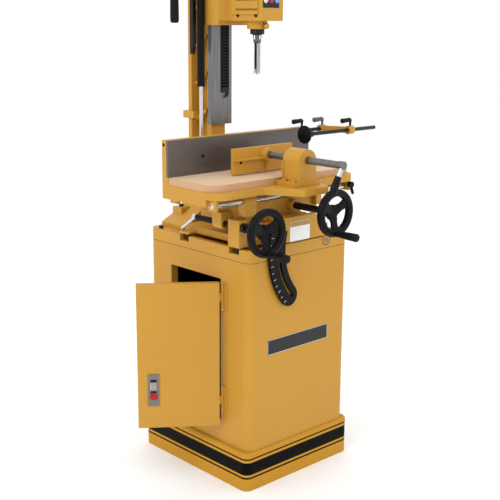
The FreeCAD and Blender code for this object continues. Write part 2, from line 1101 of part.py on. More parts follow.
def tilt_clamp():
    """A bolt through the quadrant's slot, with a spacer behind the quadrant."""
    shank = rod(
        "Y",
        "clamp_across",
        "clamp_level",
        "clamp_radius",
        "quadrant_front - running_gap",
        "cabinet_front + tray_wall",
    )
    spacer = rod(
        "Y",
        "clamp_across",
        "clamp_level",
        "clamp_head_radius",
        "quadrant_back + running_gap",
        "cabinet_front",
    )
    head = rod(
        "Y",
        "clamp_across",
        "clamp_level",
        "clamp_head_radius",
        "quadrant_front - running_gap - clamp_head",
        "quadrant_front - running_gap",
    )
    keep("tilt_clamp_bolt", join(shank, spacer, head))


# Column: pedestal, ribbed post, ground way and rack
RIBS = 6


def column():
    slope = [
        ("pedestal_half", "tray_top"),
        ("pedestal_half", "shoulder_top"),
        ("pad_outer", "pad_outer_level"),
        ("pad_inner", "pad_inner_level"),
        ("curve_half", "curve_level"),
        ("flange_half", "pedestal_top"),
    ]
    outline = slope + [(f"-{across}", level) for across, level in reversed(slope)]
    foot = plate("XZ", outline, "pedestal_front", "pedestal_back")
    foot_hollow = plate(
        "XZ",
        [
            ("-pad_outer + pedestal_wall / 2", "tray_top - overrun"),
            ("pad_outer - pedestal_wall / 2", "tray_top - overrun"),
            ("flange_half - pedestal_wall", "pedestal_top - pedestal_wall * 4"),
            ("-flange_half + pedestal_wall", "pedestal_top - pedestal_wall * 4"),
        ],
        "pedestal_front + pedestal_wall",
        "pedestal_back - pedestal_wall",
    )
    pads = [
        block(left, right, "pad_front", "pedestal_back", "shoulder_top", "pad_top")
        for left, right in (("-pad_outer", "-pad_inner"), ("pad_inner", "pad_outer"))
    ]
    neck_back = "way_front + way_thick + neck_thick"
    low = "pedestal_top - pedestal_wall"
    neck = block("-neck_half", "neck_half", "way_front + way_thick", neck_back, low, "column_top")
    flange = block(
        "-flange_half",
        "flange_half",
        "pedestal_back - flange_thick",
        "pedestal_back",
        low,
        "column_top",
    )
    web = block("-web_half", "web_half", neck_back, "pedestal_back - flange_thick", low, "column_top")
    ribs = [rib(f"way_bottom + rib_pitch * {step}") for step in range(RIBS)]
    strut_seat = block(
        "strut_across - strut_seat_half",
        "neck_half",
        "strut_depth - strut_seat_half",
        neck_back,
        "strut_seat_level - strut_seat_half",
        "strut_seat_level",
    )
    lug = block(
        "column_lug_across - column_lug_half",
        "column_lug_across + column_lug_half",
        "pedestal_back - flange_thick * 2",
        "column_lug_back",
        "column_lug_low",
        "column_lug_high",
    )
    solid = join(cut(foot, foot_hollow), *pads, neck, flange, web, *ribs, strut_seat, lug)
    keep("column_casting", cut(solid, *base_bolt_rooms("tray_top", "pad_top")))


def rib(level):
    """A slanting rib between the neck and the rear flange."""
    front = "way_front + way_thick + neck_thick / 2"
    back = "pedestal_back - flange_thick / 2"
    return plate(
        "YZ",
        [
            (front, f"{level} + rib_rise"),
            (back, level),
            (back, f"{level} + rib_thick"),
            (front, f"{level} + rib_rise + rib_thick"),
        ],
        "-rib_half",
        "rib_half",
    )


def column_way():
    bar = block("-way_half", "way_half", "way_front", "way_front + way_thick", "way_bottom", "column_top")
    slot_radius = "(rack_slot_right - rack_slot_left) / 2"
    slot_end = rod(
        "Y",
        "(rack_slot_left + rack_slot_right) / 2",
        f"rack_slot_bottom + {slot_radius}",
        slot_radius,
        "way_front - overrun",
        "way_front + rack_slot_deep",
    )
    slot = block(
        "rack_slot_left",
        "rack_slot_right",
        "way_front - overrun",
        "way_front + rack_slot_deep",
        f"rack_slot_bottom + {slot_radius}",
        "column_top + overrun",
    )
    keep("column_way", cut(bar, slot_end, slot))


def feed_rack():
    """Straight rack in the way's slot; a gap between teeth is level with the feed shaft at rest."""
    body = doc.addObject("PartDesign::Body", "Body")
    low = "rack_slot_bottom + (rack_slot_right - rack_slot_left) / 2"
    pitch_plane = "feed_depth + feed_module * feed_teeth / 2"
    tip = f"({pitch_plane}) - feed_module"
    back = "way_front + rack_slot_deep"
    bar = draw(
        body,
        "YZ",
        [(tip, low), (back, low), (back, "column_top"), (tip, "column_top")],
        "rack_slot_left + slide_gap",
    )
    pad = body.newObject("PartDesign::Pad", "Pad")
    pad.Profile = bar
    bind(pad, "Length", "rack_slot_right - rack_slot_left - 2 * slide_gap")
    doc.recompute()
    steps = f"floor((feed_hub_level - ({low})) / (feed_tooth_pitch)) - 1"
    first = f"feed_hub_level - feed_tooth_pitch * ({steps})"
    root = f"({pitch_plane}) + feed_module * root_share"
    mouth = f"({pitch_plane}) - feed_module * mouth_share"
    wide = "feed_tooth_pitch / 4 + feed_module * mouth_share * tan(20)"
    narrow = "feed_tooth_pitch / 4 - feed_module * root_share * tan(20)"
    gap = draw(
        body,
        "YZ",
        [
            (mouth, f"{first} - ({wide})"),
            (root, f"{first} - ({narrow})"),
            (root, f"{first} + ({narrow})"),
            (mouth, f"{first} + ({wide})"),
        ],
        "rack_slot_left",
    )
    pocket = body.newObject("PartDesign::Pocket", "Pocket")
    pocket.Profile = gap
    pocket.Reversed = True
    bind(pocket, "Length", "rack_slot_right - rack_slot_left")
    doc.recompute()
    count = f"floor((column_top - ({first})) / (feed_tooth_pitch))"
    extent = f"feed_tooth_pitch * ({count} - 1)"
    keep("feed_rack", repeated(body, "LinearPattern", pocket, "V_Axis", "Length", extent, count))


# Tilting base with its quadrant
def tilt_casting():
    floor = block("tilt_left", "pivot_across", "post_front", "tilt_back", "foot_level", "tilt_floor_top")
    wall = plate(
        "XZ",
        [
            ("wall_left", "foot_level"),
            ("pivot_across", "foot_level"),
            ("pivot_across", "tilt_floor_top + tilt_wall"),
            ("bed_right", "wall_high"),
            ("bed_left + tilt_wall * 2", "wall_high"),
            ("bed_left", "tilt_floor_top + tilt_wall * 2"),
            ("wall_left", "tilt_floor_top"),
        ],
        "tilt_front",
        "tilt_front + tilt_wall",
    )
    wall_foot = block(
        "wall_left",
        "pivot_across",
        "tilt_front",
        "post_front + overrun",
        "foot_level",
        "foot_level + tilt_wall",
    )
    bed = block(
        "bed_left",
        "bed_right",
        "tilt_front + tilt_wall / 2",
        "tilt_back",
        "tilt_floor_top - overrun",
        "bed_top",
    )
    way = block(
        "bed_left + way_side",
        "bed_right - way_side",
        "tilt_front + tilt_wall",
        "tilt_back",
        "bed_top",
        "way_top",
    )
    feet = [
        block(
            "tilt_wing",
            "tilt_left + overrun",
            f"{side}_notch_front + running_gap",
            f"{side}_notch_back - running_gap",
            "foot_level",
            "foot_level + tilt_foot_thick",
        )
        for side in ("front", "rear")
    ]
    post = block(
        "screw_across - post_half",
        "screw_across + post_half",
        "post_front",
        "post_back",
        "foot_level",
        "screw_level + post_above",
    )
    arm = block(
        "screw_across", "tilt_left + tilt_wall", "post_front", "post_back", "foot_level", "tilt_floor_top"
    )
    post_bore = rod(
        "Y",
        "screw_across",
        "screw_level",
        "screw_radius + slide_gap",
        "post_front - overrun",
        "post_back + overrun",
    )
    lugs = []
    rooms = []
    for lug_front in ("cabinet_front - running_gap", "rear_lug_front"):
        lugs.append(
            rod("Y", "pivot_across", "pivot_level", "pivot_lug", lug_front, f"{lug_front} + lug_long"),
        )
        lugs.append(
            block(
                "pivot_across - pivot_lug",
                "pivot_across",
                lug_front,
                f"{lug_front} + lug_long",
                "pivot_level",
                "foot_level + tilt_foot_thick",
            )
        )
        rooms.append(
            rod(
                "Y",
                "pivot_across",
                "pivot_level",
                "pivot_pin + slide_gap",
                f"{lug_front} - overrun",
                f"{lug_front} + lug_long + overrun",
            )
        )
    solid = join(floor, wall, wall_foot, bed, way, *feet, post, arm, *lugs)
    keep("tilt_casting", cut(solid, post_bore, *rooms))


def ring_sector(inner, outer, start, sweep, front, back):
    """Part of a flat ring about the tilt pivot, angles from +X towards +Z."""
    pieces = []
    for radius, extra in ((outer, "0"), (inner, "overrun")):
        piece = doc.addObject("Part::Cylinder", "Sector")
        bind(piece, "Radius", radius)
        bind(piece, "Height", f"({back}) - ({front}) + 2 * ({extra})")
        if extra == "0":
            bind(piece, "Angle", sweep)
        # The cylinder's axis points to +Y, so a turn from +X towards +Z is clockwise seen along it.
        turn = Rotation(Vector(0, 0, 1), -size(start) - size(sweep))
        piece.Placement.Rotation = ALONG["Y"].multiply(turn)
        put(piece, "pivot_across", f"({front}) - ({extra})", "pivot_level")
        pieces.append(piece)
    return cut(*pieces)


def on_quadrant(radius, turn, half, front, back):
    """A disc in the quadrant's plane, at a radius and an angle about the tilt pivot."""
    across = f"pivot_across + ({radius}) * cos({turn})"
    level = f"pivot_level + ({radius}) * sin({turn})"
    return rod("Y", across, level, half, front, back)


def tilt_quadrant():
    """A curved plate with a curved slot, both with round lower ends."""
    sector = ring_sector(
        "quadrant_inner",
        "quadrant_outer",
        "quadrant_start",
        "quadrant_sweep",
        "quadrant_front",
        "quadrant_back",
    )
    slot = ring_sector(
        "quadrant_slot - slot_wide / 2",
        "quadrant_slot + slot_wide / 2",
        "slot_start",
        "slot_sweep",
        "quadrant_front - overrun",
        "quadrant_back + overrun",
    )
    tip = on_quadrant(
        "(quadrant_inner + quadrant_outer) / 2",
        "quadrant_start + quadrant_sweep",
        "(quadrant_outer - quadrant_inner) / 2",
        "quadrant_front",
        "quadrant_back",
    )
    slot_end = on_quadrant(
        "quadrant_slot",
        "slot_start + slot_sweep",
        "slot_wide / 2",
        "quadrant_front - overrun",
        "quadrant_back + overrun",
    )
    keep("tilt_quadrant", cut(join(sector, tip), slot, slot_end))


# Handwheels, made about their own axis with the front towards +Z
SPOKE_TURNS = (30, 150, 270)


def handwheel(label, across, front, level, bore):
    rim = doc.addObject("Part::Torus", "Rim")
    bind(rim, "Radius1", "rim_radius")
    bind(rim, "Radius2", "rim_tube")
    put(rim, "0", "0", "rim_forward")
    hub = rod("Z", "0", "0", "hub_radius", "-hub_long", "0")
    cap = rod("Z", "0", "0", "cap_radius", "0", "cap_long")
    spokes = []
    for turn in SPOKE_TURNS:
        spoke = doc.addObject("Part::Cone", "Spoke")
        bind(spoke, "Radius1", "spoke_wide / 2")
        bind(spoke, "Radius2", "spoke_thick / 2")
        bind(spoke, "Height", "rim_radius / cos(spoke_dish)")
        radial = Rotation(Vector(0, 1, 0), 90 - size("spoke_dish"))
        spoke.Placement.Rotation = Rotation(Vector(0, 0, 1), turn).multiply(radial)
        put(spoke, "0", "0", "rim_forward - rim_radius * tan(spoke_dish)")
        spokes.append(spoke)
    stud = rod(
        "Z",
        "0",
        "-rim_radius",
        "stud_radius",
        "rim_forward",
        "rim_forward + rim_tube + grip_long * 3 / 4",
    )
    shaft_room = rod("Z", "0", "0", bore, "-hub_long - overrun", "-cap_long")
    wheel = cut(join(rim, hub, cap, *spokes, stud), shaft_room)
    wheel.Placement.Rotation = Rotation(Vector(1, 0, 0), 90)
    put(wheel, across, front, level)
    return keep(label, wheel)


def wheel_grip(label, across, front, level):
    """A tapered handle that spins on the wheel's stud."""
    start = f"({front}) - rim_forward - rim_tube - running_gap"
    handle = cone(
        "Y",
        across,
        f"({level}) - rim_radius",
        "grip_tip_radius",
        "grip_radius",
        f"{start} - grip_long",
        start,
    )
    room = rod(
        "Y",
        across,
        f"({level}) - rim_radius",
        "stud_radius + slide_gap",
        f"{start} - grip_long * 3 / 4 - overrun",
        f"{start} + overrun",
    )
    keep(label, cut(handle, room))


def cross_screw():
    shaft = rod("Y", "screw_across", "screw_level", "screw_radius", "wheel_front + cap_long", "screw_end")
    front_collar = rod(
        "Y",
        "screw_across",
        "screw_level",
        "screw_collar",
        "post_front - running_gap - front_collar_long",
        "post_front - running_gap",
    )
    back_collar = rod(
        "Y",
        "screw_across",
        "screw_level",
        "screw_collar",
        "post_back + running_gap",
        "post_back + running_gap + back_collar_long",
    )
    keep("cross_screw", join(shaft, front_collar, back_collar))
    handwheel("cross_handwheel", "screw_across", "wheel_front", "screw_level", "screw_radius")
    wheel_grip("cross_wheel_grip", "screw_across", "wheel_front", "screw_level")


# Saddle with its nut, lock sleeve, lock lever and feed shaft
def saddle():
    slab_body = block("saddle_left", "saddle_right", "saddle_front", "saddle_back", "way_top", "saddle_top")
    way_left = "bed_left + way_side"
    way_right = "bed_right - way_side"
    gibs = [
        block(
            f"{way_left} - slide_gap - gib_wide",
            f"{way_left} - slide_gap",
            "saddle_front",
            "saddle_back",
            "way_top - gib_tall",
            "way_top + overrun",
        ),
        block(
            f"{way_right} + slide_gap",
            f"{way_right} + slide_gap + gib_wide",
            "saddle_front",
            "saddle_back",
            "way_top - gib_tall",
            "way_top + overrun",
        ),
    ]
    bushings = []
    rooms = []
    for line in ("guide_front", "guide_rear"):
        for start, end in (
            ("saddle_left - bushing_reach", "saddle_left - bushing_reach + bushing_long"),
            ("saddle_right - bushing_long / 2", "saddle_right"),
        ):
            bushings.append(rod("X", line, "guide_level", "bushing_radius", start, end))
            bushings.append(
                block(
                    start,
                    end,
                    f"{line} - bushing_radius",
                    f"{line} + bushing_radius",
                    "way_top + gib_tall",
                    "guide_level",
                )
            )
        rooms.append(
            rod(
                "X",
                line,
                "guide_level",
                "guide_radius + slide_gap",
                "saddle_left - bushing_reach - overrun",
                "saddle_right + overrun",
            )
        )
    nut_boss = rod("Y", "screw_across", "screw_level", "nut_boss", "nut_front", "nut_back")
    nut_arm = block(
        "screw_across - nut_boss",
        "saddle_left + tilt_wall",
        "nut_front",
        "nut_back",
        "screw_level",
        "nut_arm_top",
    )
    feed_boss = rod("Y", "0", "feed_shaft_level", "feed_boss_radius", "feed_boss_front", "saddle_front")
    rack_room = block(
        "saddle_left - overrun",
        "saddle_right + overrun",
        "pinion_front - running_gap * 4",
        "pinion_back + running_gap * 4",
        "rack_pitch_level - rack_module * 3",
        "saddle_top + overrun",
    )
    pinion_room = rod(
        "Y",
        "0",
        "feed_shaft_level",
        "rack_module * (pinion_teeth / 2 + 2)",
        "pinion_front - running_gap * 4",
        "pinion_back + running_gap * 4",
    )
    shaft_room = rod(
        "Y",
        "0",
        "feed_shaft_level",
        "feed_shaft_radius + slide_gap",
        "feed_boss_front - overrun",
        "pinion_front",
    )
    journal_room = rod(
        "Y",
        "0",
        "feed_shaft_level",
        "journal_radius + slide_gap",
        "pinion_back",
        "journal_end + overrun",
    )
    nut_room = rod(
        "Y",
        "screw_across",
        "screw_level",
        "nut_radius",
        "nut_front - overrun",
        "nut_back + overrun",
    )
    solid = join(slab_body, *gibs, *bushings, nut_boss, nut_arm, feed_boss)
    keep("saddle_casting", cut(solid, *rooms, rack_room, pinion_room, shaft_room, journal_room, nut_room))
    nut = rod("Y", "screw_across", "screw_level", "nut_radius", "nut_front", "nut_back")
    thread = rod(
        "Y",
        "screw_across",
        "screw_level",
        "screw_radius + slide_gap",
        "nut_front - overrun",
        "nut_back + overrun",
    )
    keep("cross_nut", cut(nut, thread))
    sleeve = rod("Y", "screw_across", "screw_level", "sleeve_radius", "nut_back", "sleeve_end")
    sleeve_room = rod(
        "Y",
        "screw_across",
        "screw_level",
        "screw_radius + running_gap",
        "nut_back - overrun",
        "sleeve_end - sleeve_radius / 2",
    )
    keep("cross_lock_sleeve", cut(sleeve, sleeve_room))


def lock_lever(label, across, deep, level, turn, long, angle):
    """A hub on a Y axis with a rod that leans away and down, turned about Z."""
    hub = rod("Y", "0", "0", "lock_hub_radius", "0", "lock_hub_long")
    arm = doc.addObject("Part::Cylinder", "Arm")
    bind(arm, "Radius", "lock_rod_radius")
    bind(arm, "Height", long)
    arm.Placement.Rotation = Rotation(Vector(1, 0, 0), -90 - size(angle))
    put(arm, "0", "lock_hub_long / 2", "0")
    end = ball(
        "0",
        f"lock_hub_long / 2 + {long} * cos({angle})",
        f"-{long} * sin({angle})",
        "lock_rod_radius",
    )
    lever = join(hub, arm, end)
    lever.Placement.Rotation = Rotation(Vector(0, 0, 1), turn)
    put(lever, across, deep, level)
    keep(label, lever)


def table_feed():
    shaft = rod(
        "Y",
        "0",
        "feed_shaft_level",
        "feed_shaft_radius",
        "feed_wheel_front + hub_long",
        "pinion_front",
    )
    nose = rod(
        "Y",
        "0",
        "feed_shaft_level",
        "screw_radius",
        "feed_wheel_front + cap_long",
        "feed_wheel_front + hub_long",
    )
    journal = rod("Y", "0", "feed_shaft_level", "journal_radius", "pinion_back", "journal_end")
    teeth = pinion("Y", "rack_module", "pinion_teeth", "pinion_back - pinion_front")
    put(teeth, "0", "pinion_back", "feed_shaft_level")
    keep("table_feed_shaft", join(shaft, nose, teeth, journal))
    handwheel("table_handwheel", "0", "feed_wheel_front", "feed_shaft_level", "screw_radius")
    wheel_grip("table_wheel_grip", "0", "feed_wheel_front", "feed_shaft_level")


DISC_SIDES = 40


def pinion(axis, module, teeth, long):
    """A spur pinion with one tooth pointing along its own +Y and a little backlash."""
    body = doc.addObject("PartDesign::Body", "Body")
    pitch = f"{module} * {teeth} / 2"
    foot = f"{module} * tooth_tip_share"
    root = f"({pitch} - {module} * root_share)"
    turns = [360 * step / DISC_SIDES for step in range(DISC_SIDES)]
    disc_points = [(f"{root} * cos({turn})", f"{root} * sin({turn})") for turn in turns]
    disc = draw(body, "XY", disc_points, "0")
    pad = body.newObject("PartDesign::Pad", "Pad")
    pad.Profile = disc
    bind(pad, "Length", long)
    doc.recompute()
    tooth = draw(
        body,
        "XY",
        [
            (f"-{module} * tooth_base_share", f"{root} - {foot}"),
            (f"{module} * tooth_base_share", f"{root} - {foot}"),
            (f"{module} * tooth_middle_share", pitch),
            (foot, f"{pitch} + {module} * tooth_height_share"),
            (f"-{foot}", f"{pitch} + {module} * tooth_height_share"),
            (f"-{module} * tooth_middle_share", pitch),
        ],
        "0",
    )
    tooth_pad = body.newObject("PartDesign::Pad", "Tooth")
    tooth_pad.Profile = tooth
    bind(tooth_pad, "Length", long)
    doc.recompute()
    ring = repeated(body, "PolarPattern", tooth_pad, "N_Axis", "Angle", "360", teeth)
    # Along Y the body's own +Y points up; along X it points to +Y.
    ring.Placement.Rotation = {"Y": Rotation(Vector(1, 0, 0), 90), "X": Rotation(Vector(1, 1, 1), 120)}[axis]
    return ring


# Table: casting with the fence, guide rods, board, fence plate, rack and lock lever
def table():
    top = plate(
        "XY",
        [
            ("table_left", "table_front"),
            ("table_middle - apron_half_root", "table_front"),
            ("table_middle - apron_half_front", "apron_front"),
            ("table_middle + apron_half_front", "apron_front"),
            ("table_middle + apron_half_root", "table_front"),
            ("table_right", "table_front"),
            ("table_right", "table_back"),
            ("table_left", "table_back"),
        ],
        "table_bottom",
        "table_top",
    )

    def outer_front_corner(edge, bounds):
        if not upright(edge, bounds):
            return False
        from_end = min(edge.BoundBox.XMin - bounds.XMin, bounds.XMax - edge.BoundBox.XMax)
        return from_end < size("running_gap") and edge.BoundBox.YMin < bounds.Center.y

    rounded(top, "table_round", outer_front_corner)
    fence = block(
        "table_left",
        "table_right",
        "fence_back_face",
        "table_back",
        "table_top - overrun",
        "fence_cap_top",
    )
    ledge = block("table_left", "table_right", "fence_face", "table_back", "table_top - overrun", "board_top")
    walls = [
        block(
            "table_left",
            "table_left + end_wall",
            "table_front + table_round",
            "table_back",
            "end_wall_low",
            "table_bottom + overrun",
        ),
        block(
            "table_right - end_wall",
            "table_right",
            "table_front + table_round",
            "table_back",
            "end_wall_low",
            "table_bottom + overrun",
        ),
    ]
    lugs = []
    rods = []
    for line in ("guide_front", "guide_rear"):
        lugs += [
            block(
                start,
                f"{start} + lug_thick",
                f"{line} - guide_radius * 2",
                f"{line} + guide_radius * 2",
                "lug_low",
                "table_bottom + overrun",
            )
            for start in ("table_left + end_wall", "table_right - end_wall - lug_thick")
        ]
        rods.append(
            rod(
                "X",
                line,
                "guide_level",
                "guide_radius",
                "table_left + end_wall",
                "table_right - end_wall",
            )
        )
    rod_rooms = [
        rod(
            "X",
            line,
            "guide_level",
            "guide_radius",
            "table_left + end_wall",
            "table_right - end_wall",
        )
        for line in ("guide_front", "guide_rear")
    ]
    support_room = rod(
        "X",
        "0",
        "support_rod_level",
        "stop_rod_radius + slide_gap",
        "support_bore_left",
        "table_right + overrun",
    )
    lever_room = rod(
        "Z",
        "fence_lever_across",
        "0",
        "lever_stem_radius + slide_gap",
        "support_rod_level",
        "fence_cap_top + overrun",
    )
    solid = join(top, fence, ledge, *walls, *lugs)
    keep("table_casting", cut(solid, *rod_rooms, support_room, lever_room))
    keep("guide_rods", loose(*rods))
    board = plate(
        "XY",
        [
            ("board_left", "board_front"),
            ("board_right", "board_front"),
            ("board_right", "fence_face"),
            ("board_left", "fence_face"),
        ],
        "table_top",
        "board_top",
    )
    keep("table_board", rounded(board, "table_round", outer_front_corner))
    keep(
        "fence_plate",
        block("table_left", "table_right", "fence_face", "fence_back_face", "board_top", "fence_top"),
    )


def table_rack():
    body = doc.addObject("PartDesign::Body", "Body")
    tip = "rack_pitch_level - rack_module"
    top = "table_bottom"
    bar = draw(
        body,
        "XZ",
        [
            ("table_rack_left", tip),
            ("table_rack_right", tip),
            ("table_rack_right", top),
            ("table_rack_left", top),
        ],
        "-(pinion_back - slide_gap)",
    )
    pad = body.newObject("PartDesign::Pad", "Pad")
    pad.Profile = bar
    bind(pad, "Length", "pinion_back - pinion_front - 2 * slide_gap")
    doc.recompute()
    steps = "floor(-table_rack_left / rack_tooth_pitch) - 1"
    first = f"-rack_tooth_pitch * ({steps})"
    root = "rack_pitch_level + rack_module * root_share"
    mouth = "rack_pitch_level - rack_module * mouth_share"
    wide = "rack_tooth_pitch / 4 + rack_module * mouth_share * tan(20)"
    narrow = "rack_tooth_pitch / 4 - rack_module * root_share * tan(20)"
    gap = draw(
        body,
        "XZ",
        [
            (f"{first} - ({wide})", mouth),
            (f"{first} + ({wide})", mouth),
            (f"{first} + ({narrow})", root),
            (f"{first} - ({narrow})", root),
        ],
        "-(pinion_back - slide_gap)",
    )
    pocket = body.newObject("PartDesign::Pocket", "Pocket")
    pocket.Profile = gap
    pocket.Reversed = True
    bind(pocket, "Length", "pinion_back - pinion_front")
    doc.recompute()
    count = f"floor((table_rack_right - ({first})) / rack_tooth_pitch)"
    keep(
        "table_rack",
        repeated(
            body,
            "LinearPattern",
            pocket,
            "H_Axis",
            "Length",
            f"rack_tooth_pitch * ({count} - 1)",
            count,
        ),
    )


# Vise
def on_crank(piece):
    """Turn a piece made about the crank's own origin to where the crank rests."""
    piece.Placement.Rotation = Rotation(Vector(0, 1, 0), size("crank_lean"))
    return put(piece, "table_middle", "crank_plane", "vise_axis_level")


def vise():
    middle = "table_middle"
    tower = block(
        f"{middle} - vise_body_half",
        f"{middle} + vise_body_half",
        "vise_body_front",
        "vise_body_back",
        "table_top",
        "vise_body_top - vise_body_half",
    )
    arch = rod(
        "Y", middle, "vise_body_top - vise_body_half", "vise_body_half", "vise_body_front", "vise_body_back"
    )
    rib_back = block(
        f"{middle} - vise_body_half - vise_rib_out",
        f"{middle} + vise_body_half + vise_rib_out",
        "vise_body_back - vise_rib_thick",
        "vise_body_back",
        "table_top",
        "vise_body_top - vise_body_half",
    )
    foot = block(
        f"{middle} - vise_foot_half",
        f"{middle} + vise_foot_half",
        "vise_body_front",
        "vise_foot_back",
        "table_top",
        "table_top + vise_foot_tall",
    )
    room = rod(
        "Y",
        middle,
        "vise_axis_level",
        "vise_screw_radius + slide_gap",
        "vise_body_front - overrun",
        "vise_body_back + overrun",
    )
    keep("vise_body", cut(join(tower, arch, rib_back, foot), room))
    bolts = []
    for side in ("-", "+"):
        for place in ("vise_body_front + vise_bolt_radius * 3", "vise_body_back - vise_bolt_radius * 4"):
            across = f"{middle} {side} (vise_foot_half - vise_bolt_radius * 2)"
            head_low = "table_top + vise_foot_tall"
            bolts.append(
                rod("Z", across, place, "vise_bolt_head_radius", head_low, f"{head_low} + vise_bolt_head"),
            )
    keep("vise_bolts", loose(*bolts))
    face = block("jaw_left", "jaw_right", "jaw_face - jaw_thick", "jaw_face", "jaw_low", "jaw_high")
    shelf = block(
        "jaw_left",
        "jaw_right",
        "jaw_face - jaw_thick - jaw_rib_out",
        "jaw_face - jaw_thick",
        "jaw_rib_level",
        "jaw_rib_level + jaw_rib_thick",
    )
    gusset = plate(
        "YZ",
        [
            ("jaw_face - jaw_thick", "jaw_low"),
            ("jaw_face - jaw_thick", "vise_axis_level"),
            ("jaw_boss_front", "vise_axis_level"),
        ],
        f"{middle} - jaw_rib_thick / 2",
        f"{middle} + jaw_rib_thick / 2",
    )
    boss = rod("Y", middle, "vise_axis_level", "jaw_boss_radius", "jaw_boss_front", "jaw_face - jaw_thick")
    socket = rod(
        "Y",
        middle,
        "vise_axis_level",
        "vise_screw_radius + slide_gap",
        "jaw_boss_front - overrun",
        "jaw_face - jaw_thick",
    )
    keep("vise_jaw", cut(join(face, shelf, gusset, boss), socket))
    screw = rod(
        "Y",
        middle,
        "vise_axis_level",
        "vise_screw_radius",
        "vise_cap_back",
        "jaw_face - jaw_thick - running_gap",
    )
    cap = rod("Y", middle, "vise_axis_level", "vise_cap_radius", "vise_cap_front", "vise_cap_back")
    bar = rod(
        "Z",
        "0",
        "0",
        "crank_bar_radius",
        "crank_grip_long + running_gap - crank_reach",
        "crank_bar_above",
    )
    stud = rod(
        "Z",
        "0",
        "0",
        "crank_stud_radius",
        "crank_grip_radius - crank_reach",
        "crank_grip_long + running_gap - crank_reach",
    )
    keep("vise_screw", join(screw, cap, on_crank(join(bar, stud))))
    grip = rod("Z", "0", "0", "crank_grip_radius", "-crank_reach", "crank_grip_long - crank_reach")
    grip_room = rod(
        "Z",
        "0",
        "0",
        "crank_stud_radius + slide_gap",
        "crank_grip_radius - running_gap - crank_reach",
        "crank_grip_long - crank_reach + overrun",
    )
    keep("vise_crank_grip", on_crank(cut(grip, grip_room)))


# Work stop
def ratchet_lever(label, across, deep, level, stem_start):
    """A stemmed clamp lever whose grip points left."""
    stud = rod("Z", across, deep, "lever_stem_radius", stem_start, f"({level}) + lever_stem_tall")
    foot = rod(
        "Z",
        across,
        deep,
        "lever_foot_radius",
        f"({level}) + running_gap",
        f"({level}) + running_gap + lever_foot_tall",
    )
    grip_level = f"({level}) + lever_stem_tall"
    grip = cone(
        "X",
        deep,
        grip_level,
        "lever_grip_radius * lever_flare_share",
        "lever_grip_radius * lever_taper_share",
        f"({across}) - lever_grip_long",
        f"({across}) + lever_stem_radius",
    )
    keep(label, join(stud, foot, grip))


def work_stop():
    support = rod("X", "0", "support_rod_level", "stop_rod_radius", "support_rod_left", "support_rod_right")
    keep("stop_support_rod", support)
    arm_left = "arm_across - arm_boss_half"
    arm_right = "arm_across + arm_boss_half"
    stop_level = "support_rod_level + arm_rise"
    rear = rod("X", "0", "support_rod_level", "arm_boss_radius", arm_left, arm_right)
    front = rod("X", "-arm_reach", stop_level, "arm_boss_radius", arm_left, arm_right)
    web = plate(
        "YZ",
        [
            ("-arm_reach", f"{stop_level} - arm_web_half"),
            ("0", "support_rod_level - arm_web_half"),
            ("0", "support_rod_level + arm_web_half"),
            ("-arm_reach", f"{stop_level} + arm_web_half"),
        ],
        "arm_across - arm_web_half",
        "arm_across + arm_web_half",
    )
    rooms = []
    for deep, level in (("0", "support_rod_level"), ("-arm_reach", stop_level)):
        rooms.append(
            rod(
                "X",
                deep,
                level,
                "stop_rod_radius + slide_gap",
                f"{arm_left} - overrun",
                f"{arm_right} + overrun",
            )
        )
        rooms.append(
            rod(
                "Z",
                "arm_across",
                deep,
                "lever_stem_radius + slide_gap",
                level,
                f"{level} + arm_boss_radius + overrun",
            )
        )
    keep("stop_arm", cut(join(rear, front, web), *rooms))
    bar = rod("X", "-arm_reach", stop_level, "stop_rod_radius", "stop_rod_left", "stop_rod_right")
    disc = rod(
        "X",
        "-arm_reach",
        stop_level,
        "disc_radius",
        "stop_rod_left - disc_thick / 2",
        "stop_rod_left + disc_thick / 2",
    )
    sleeve = rod(
        "X",
        "-arm_reach",
        stop_level,
        "disc_sleeve_radius",
        "stop_rod_left",
        "stop_rod_left + disc_sleeve_long",
    )
    keep("stop_rod", join(bar, disc, sleeve))
    ratchet_lever(
        "fence_clamp_lever",
        "fence_lever_across",
        "0",
        "fence_cap_top",
        "support_rod_level + stop_rod_radius + running_gap",
    )
    ratchet_lever(
        "arm_clamp_lever",
        "arm_across",
        "0",
        "support_rod_level + arm_boss_radius",
        "support_rod_level + stop_rod_radius + running_gap",
    )
    ratchet_lever(
        "stop_clamp_lever",
        "arm_across",
        "-arm_reach",
        f"{stop_level} + arm_boss_radius",
        f"{stop_level} + stop_rod_radius + running_gap",
    )


